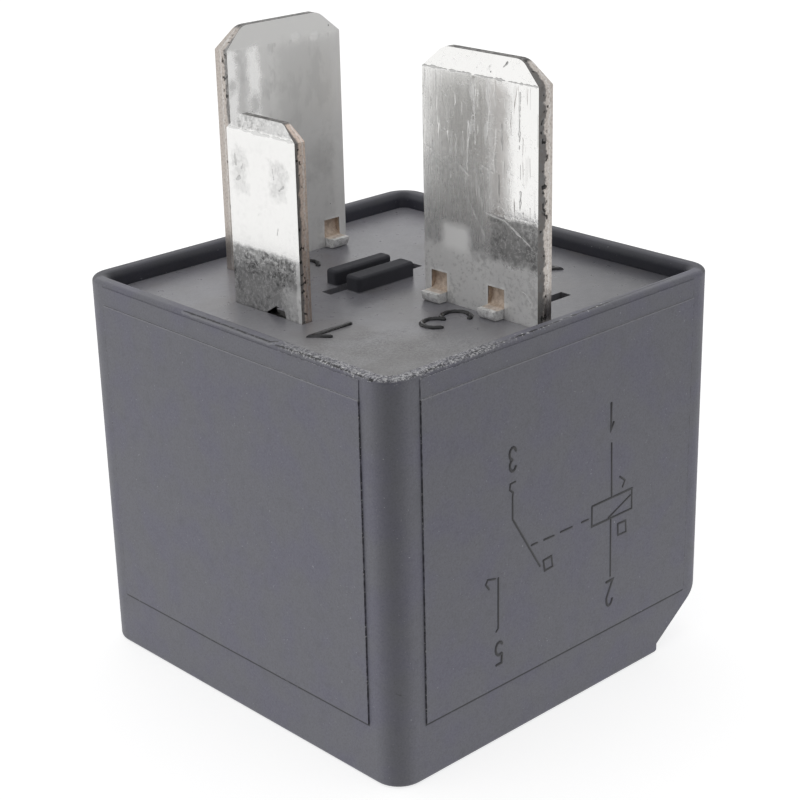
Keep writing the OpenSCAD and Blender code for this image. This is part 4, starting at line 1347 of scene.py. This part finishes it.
@dataclass
class Studio:
    """White table, pale walls round it that are dimmer in front and on one side, the camera.

    right, up and back are the camera's axes. table is the table's colour and glow its light.
    Rays from the camera see it brighter by lift, and those by way of metal or glass by mirrored.
    """

    lens: float = 85.074
    clip_start: float = 0.005
    camera_at: Point3 = (-78.496, -83.607, 62.338)
    right: Point3 = (0.72308954, -0.69041713, -0.0215801)
    up: Point3 = (0.26873495, 0.2523974, 0.92955747)
    back: Point3 = (-0.63633564, -0.67795261, 0.36804513)
    walls: float = 1.0
    dim_side: float = 0.55
    dim_front: float = 0.25
    dim_top: float = 0.85
    behind: float = 1.08
    behind_side: float = 0.72
    table: float = 0.5
    glow: float = 0.58
    table_half: float = 1.5
    table_side: float = 0.8
    table_front: float = 0.5
    lift: float = 0.13
    mirrored: float = 0.03

    def build(self) -> None:
        """Sets up the whole studio."""
        self.camera()
        self.floor()
        self.world()

    def camera(self) -> None:
        """Adds the camera."""
        data = bpy.data.cameras.new("camera")
        data.lens = self.lens
        data.clip_start = self.clip_start
        piece = bpy.data.objects.new("camera", data)
        axes = Matrix((self.right, self.up, self.back)).transposed().to_4x4()
        piece.matrix_world = Matrix.Translation(Vector(self.camera_at) * MM) @ axes
        bpy.context.scene.collection.objects.link(piece)
        bpy.context.scene.camera = piece

    @staticmethod
    def rays(g: Graph) -> tuple[Value, Value]:
        """Tells the kinds of rays apart.

        Args:
            g: the graph.

        Returns: 1 for the camera's rays, and 1 for those by way of metal or glass.
        """
        camera = g.node("ShaderNodeLightPath", {}, {}, "Is Camera Ray")
        glossy = g.node("ShaderNodeLightPath", {}, {}, "Is Glossy Ray")
        through = g.node("ShaderNodeLightPath", {}, {}, "Is Transmission Ray")
        return camera, glossy.high(through)

    @staticmethod
    def toward(x: Value, y: Value, way: Point3) -> Value:
        """Returns: how far a place lies in one of the camera's directions over the table."""
        return x * way[0] + y * way[1]

    def floor(self) -> None:
        """Adds the white table: to the object it is dimmer in front and on one side."""
        mesh = bmesh.new()
        bmesh.ops.create_grid(mesh, x_segments=2, y_segments=2, size=self.table_half)
        data = bpy.data.meshes.new("floor")
        mesh.to_mesh(data)
        mesh.free()
        floor = bpy.data.objects.new("floor", data)
        bpy.context.scene.collection.objects.link(floor)
        material = bpy.data.materials.new("white_table")
        g = Graph(material)
        side = self.toward(g.x, g.y, self.right).smooth(5.0, 80.0)
        front = self.toward(g.x, g.y, self.back).smooth(25.0, 110.0)
        seen, mirror = self.rays(g)
        shade = (side.spread(1.0, self.table_side) * front.spread(1.0, self.table_front)).high(seen)
        glow = shade * self.glow + seen * self.lift + mirror * shade * self.mirrored
        inputs = {
            "Base Color": g.grey(shade * self.table),
            "Roughness": 1.0,
            "Specular IOR Level": 0.0,
            "Emission Color": g.grey(glow),
            "Emission Strength": 1.0,
        }
        g.output(g.node("ShaderNodeBsdfPrincipled", {}, inputs))
        data.materials.append(material)

    def world(self) -> None:
        """White to the camera; round the object, walls dimmer in front and on one side."""
        world = bpy.data.worlds.new("studio")
        bpy.context.scene.world = world
        g = Graph(world)
        x, y, z = g.split(g.node("ShaderNodeTexCoord", {}, {}, "Generated"))
        side = self.toward(x, y, self.right).smooth(-0.2, 0.7)
        front = self.toward(x, y, self.back).smooth(0.25, 0.8)
        back = self.toward(x, y, self.back).smooth(-0.3, -0.8)
        walls = side.spread(self.walls, self.dim_side) * (1.0 - front) + front * self.dim_front
        behind = side.spread(self.behind, self.behind * self.behind_side)
        walls = walls * (1.0 - back) + back * behind
        high = (z - front * 0.3).smooth(0.35, 0.8)
        light = walls * (1.0 - high) + high * self.dim_top
        seen, mirror = self.rays(g)
        light = light + mirror * (1.0 - light).high(0.0) * self.mirrored
        inputs = {"Color": g.grey(light.high(seen)), "Strength": 1.0}
        g.output(g.node("ShaderNodeBackground", {}, inputs), "ShaderNodeOutputWorld")
        bpy.context.scene.view_settings.view_transform = "Standard"


def main() -> None:
    """Builds the looks, the signs and the studio."""
    for part in (Case(), Blades(), Mechanism()):
        part.dress()
        part.build()
    Studio().build()


if __name__ == "__main__":
    main()
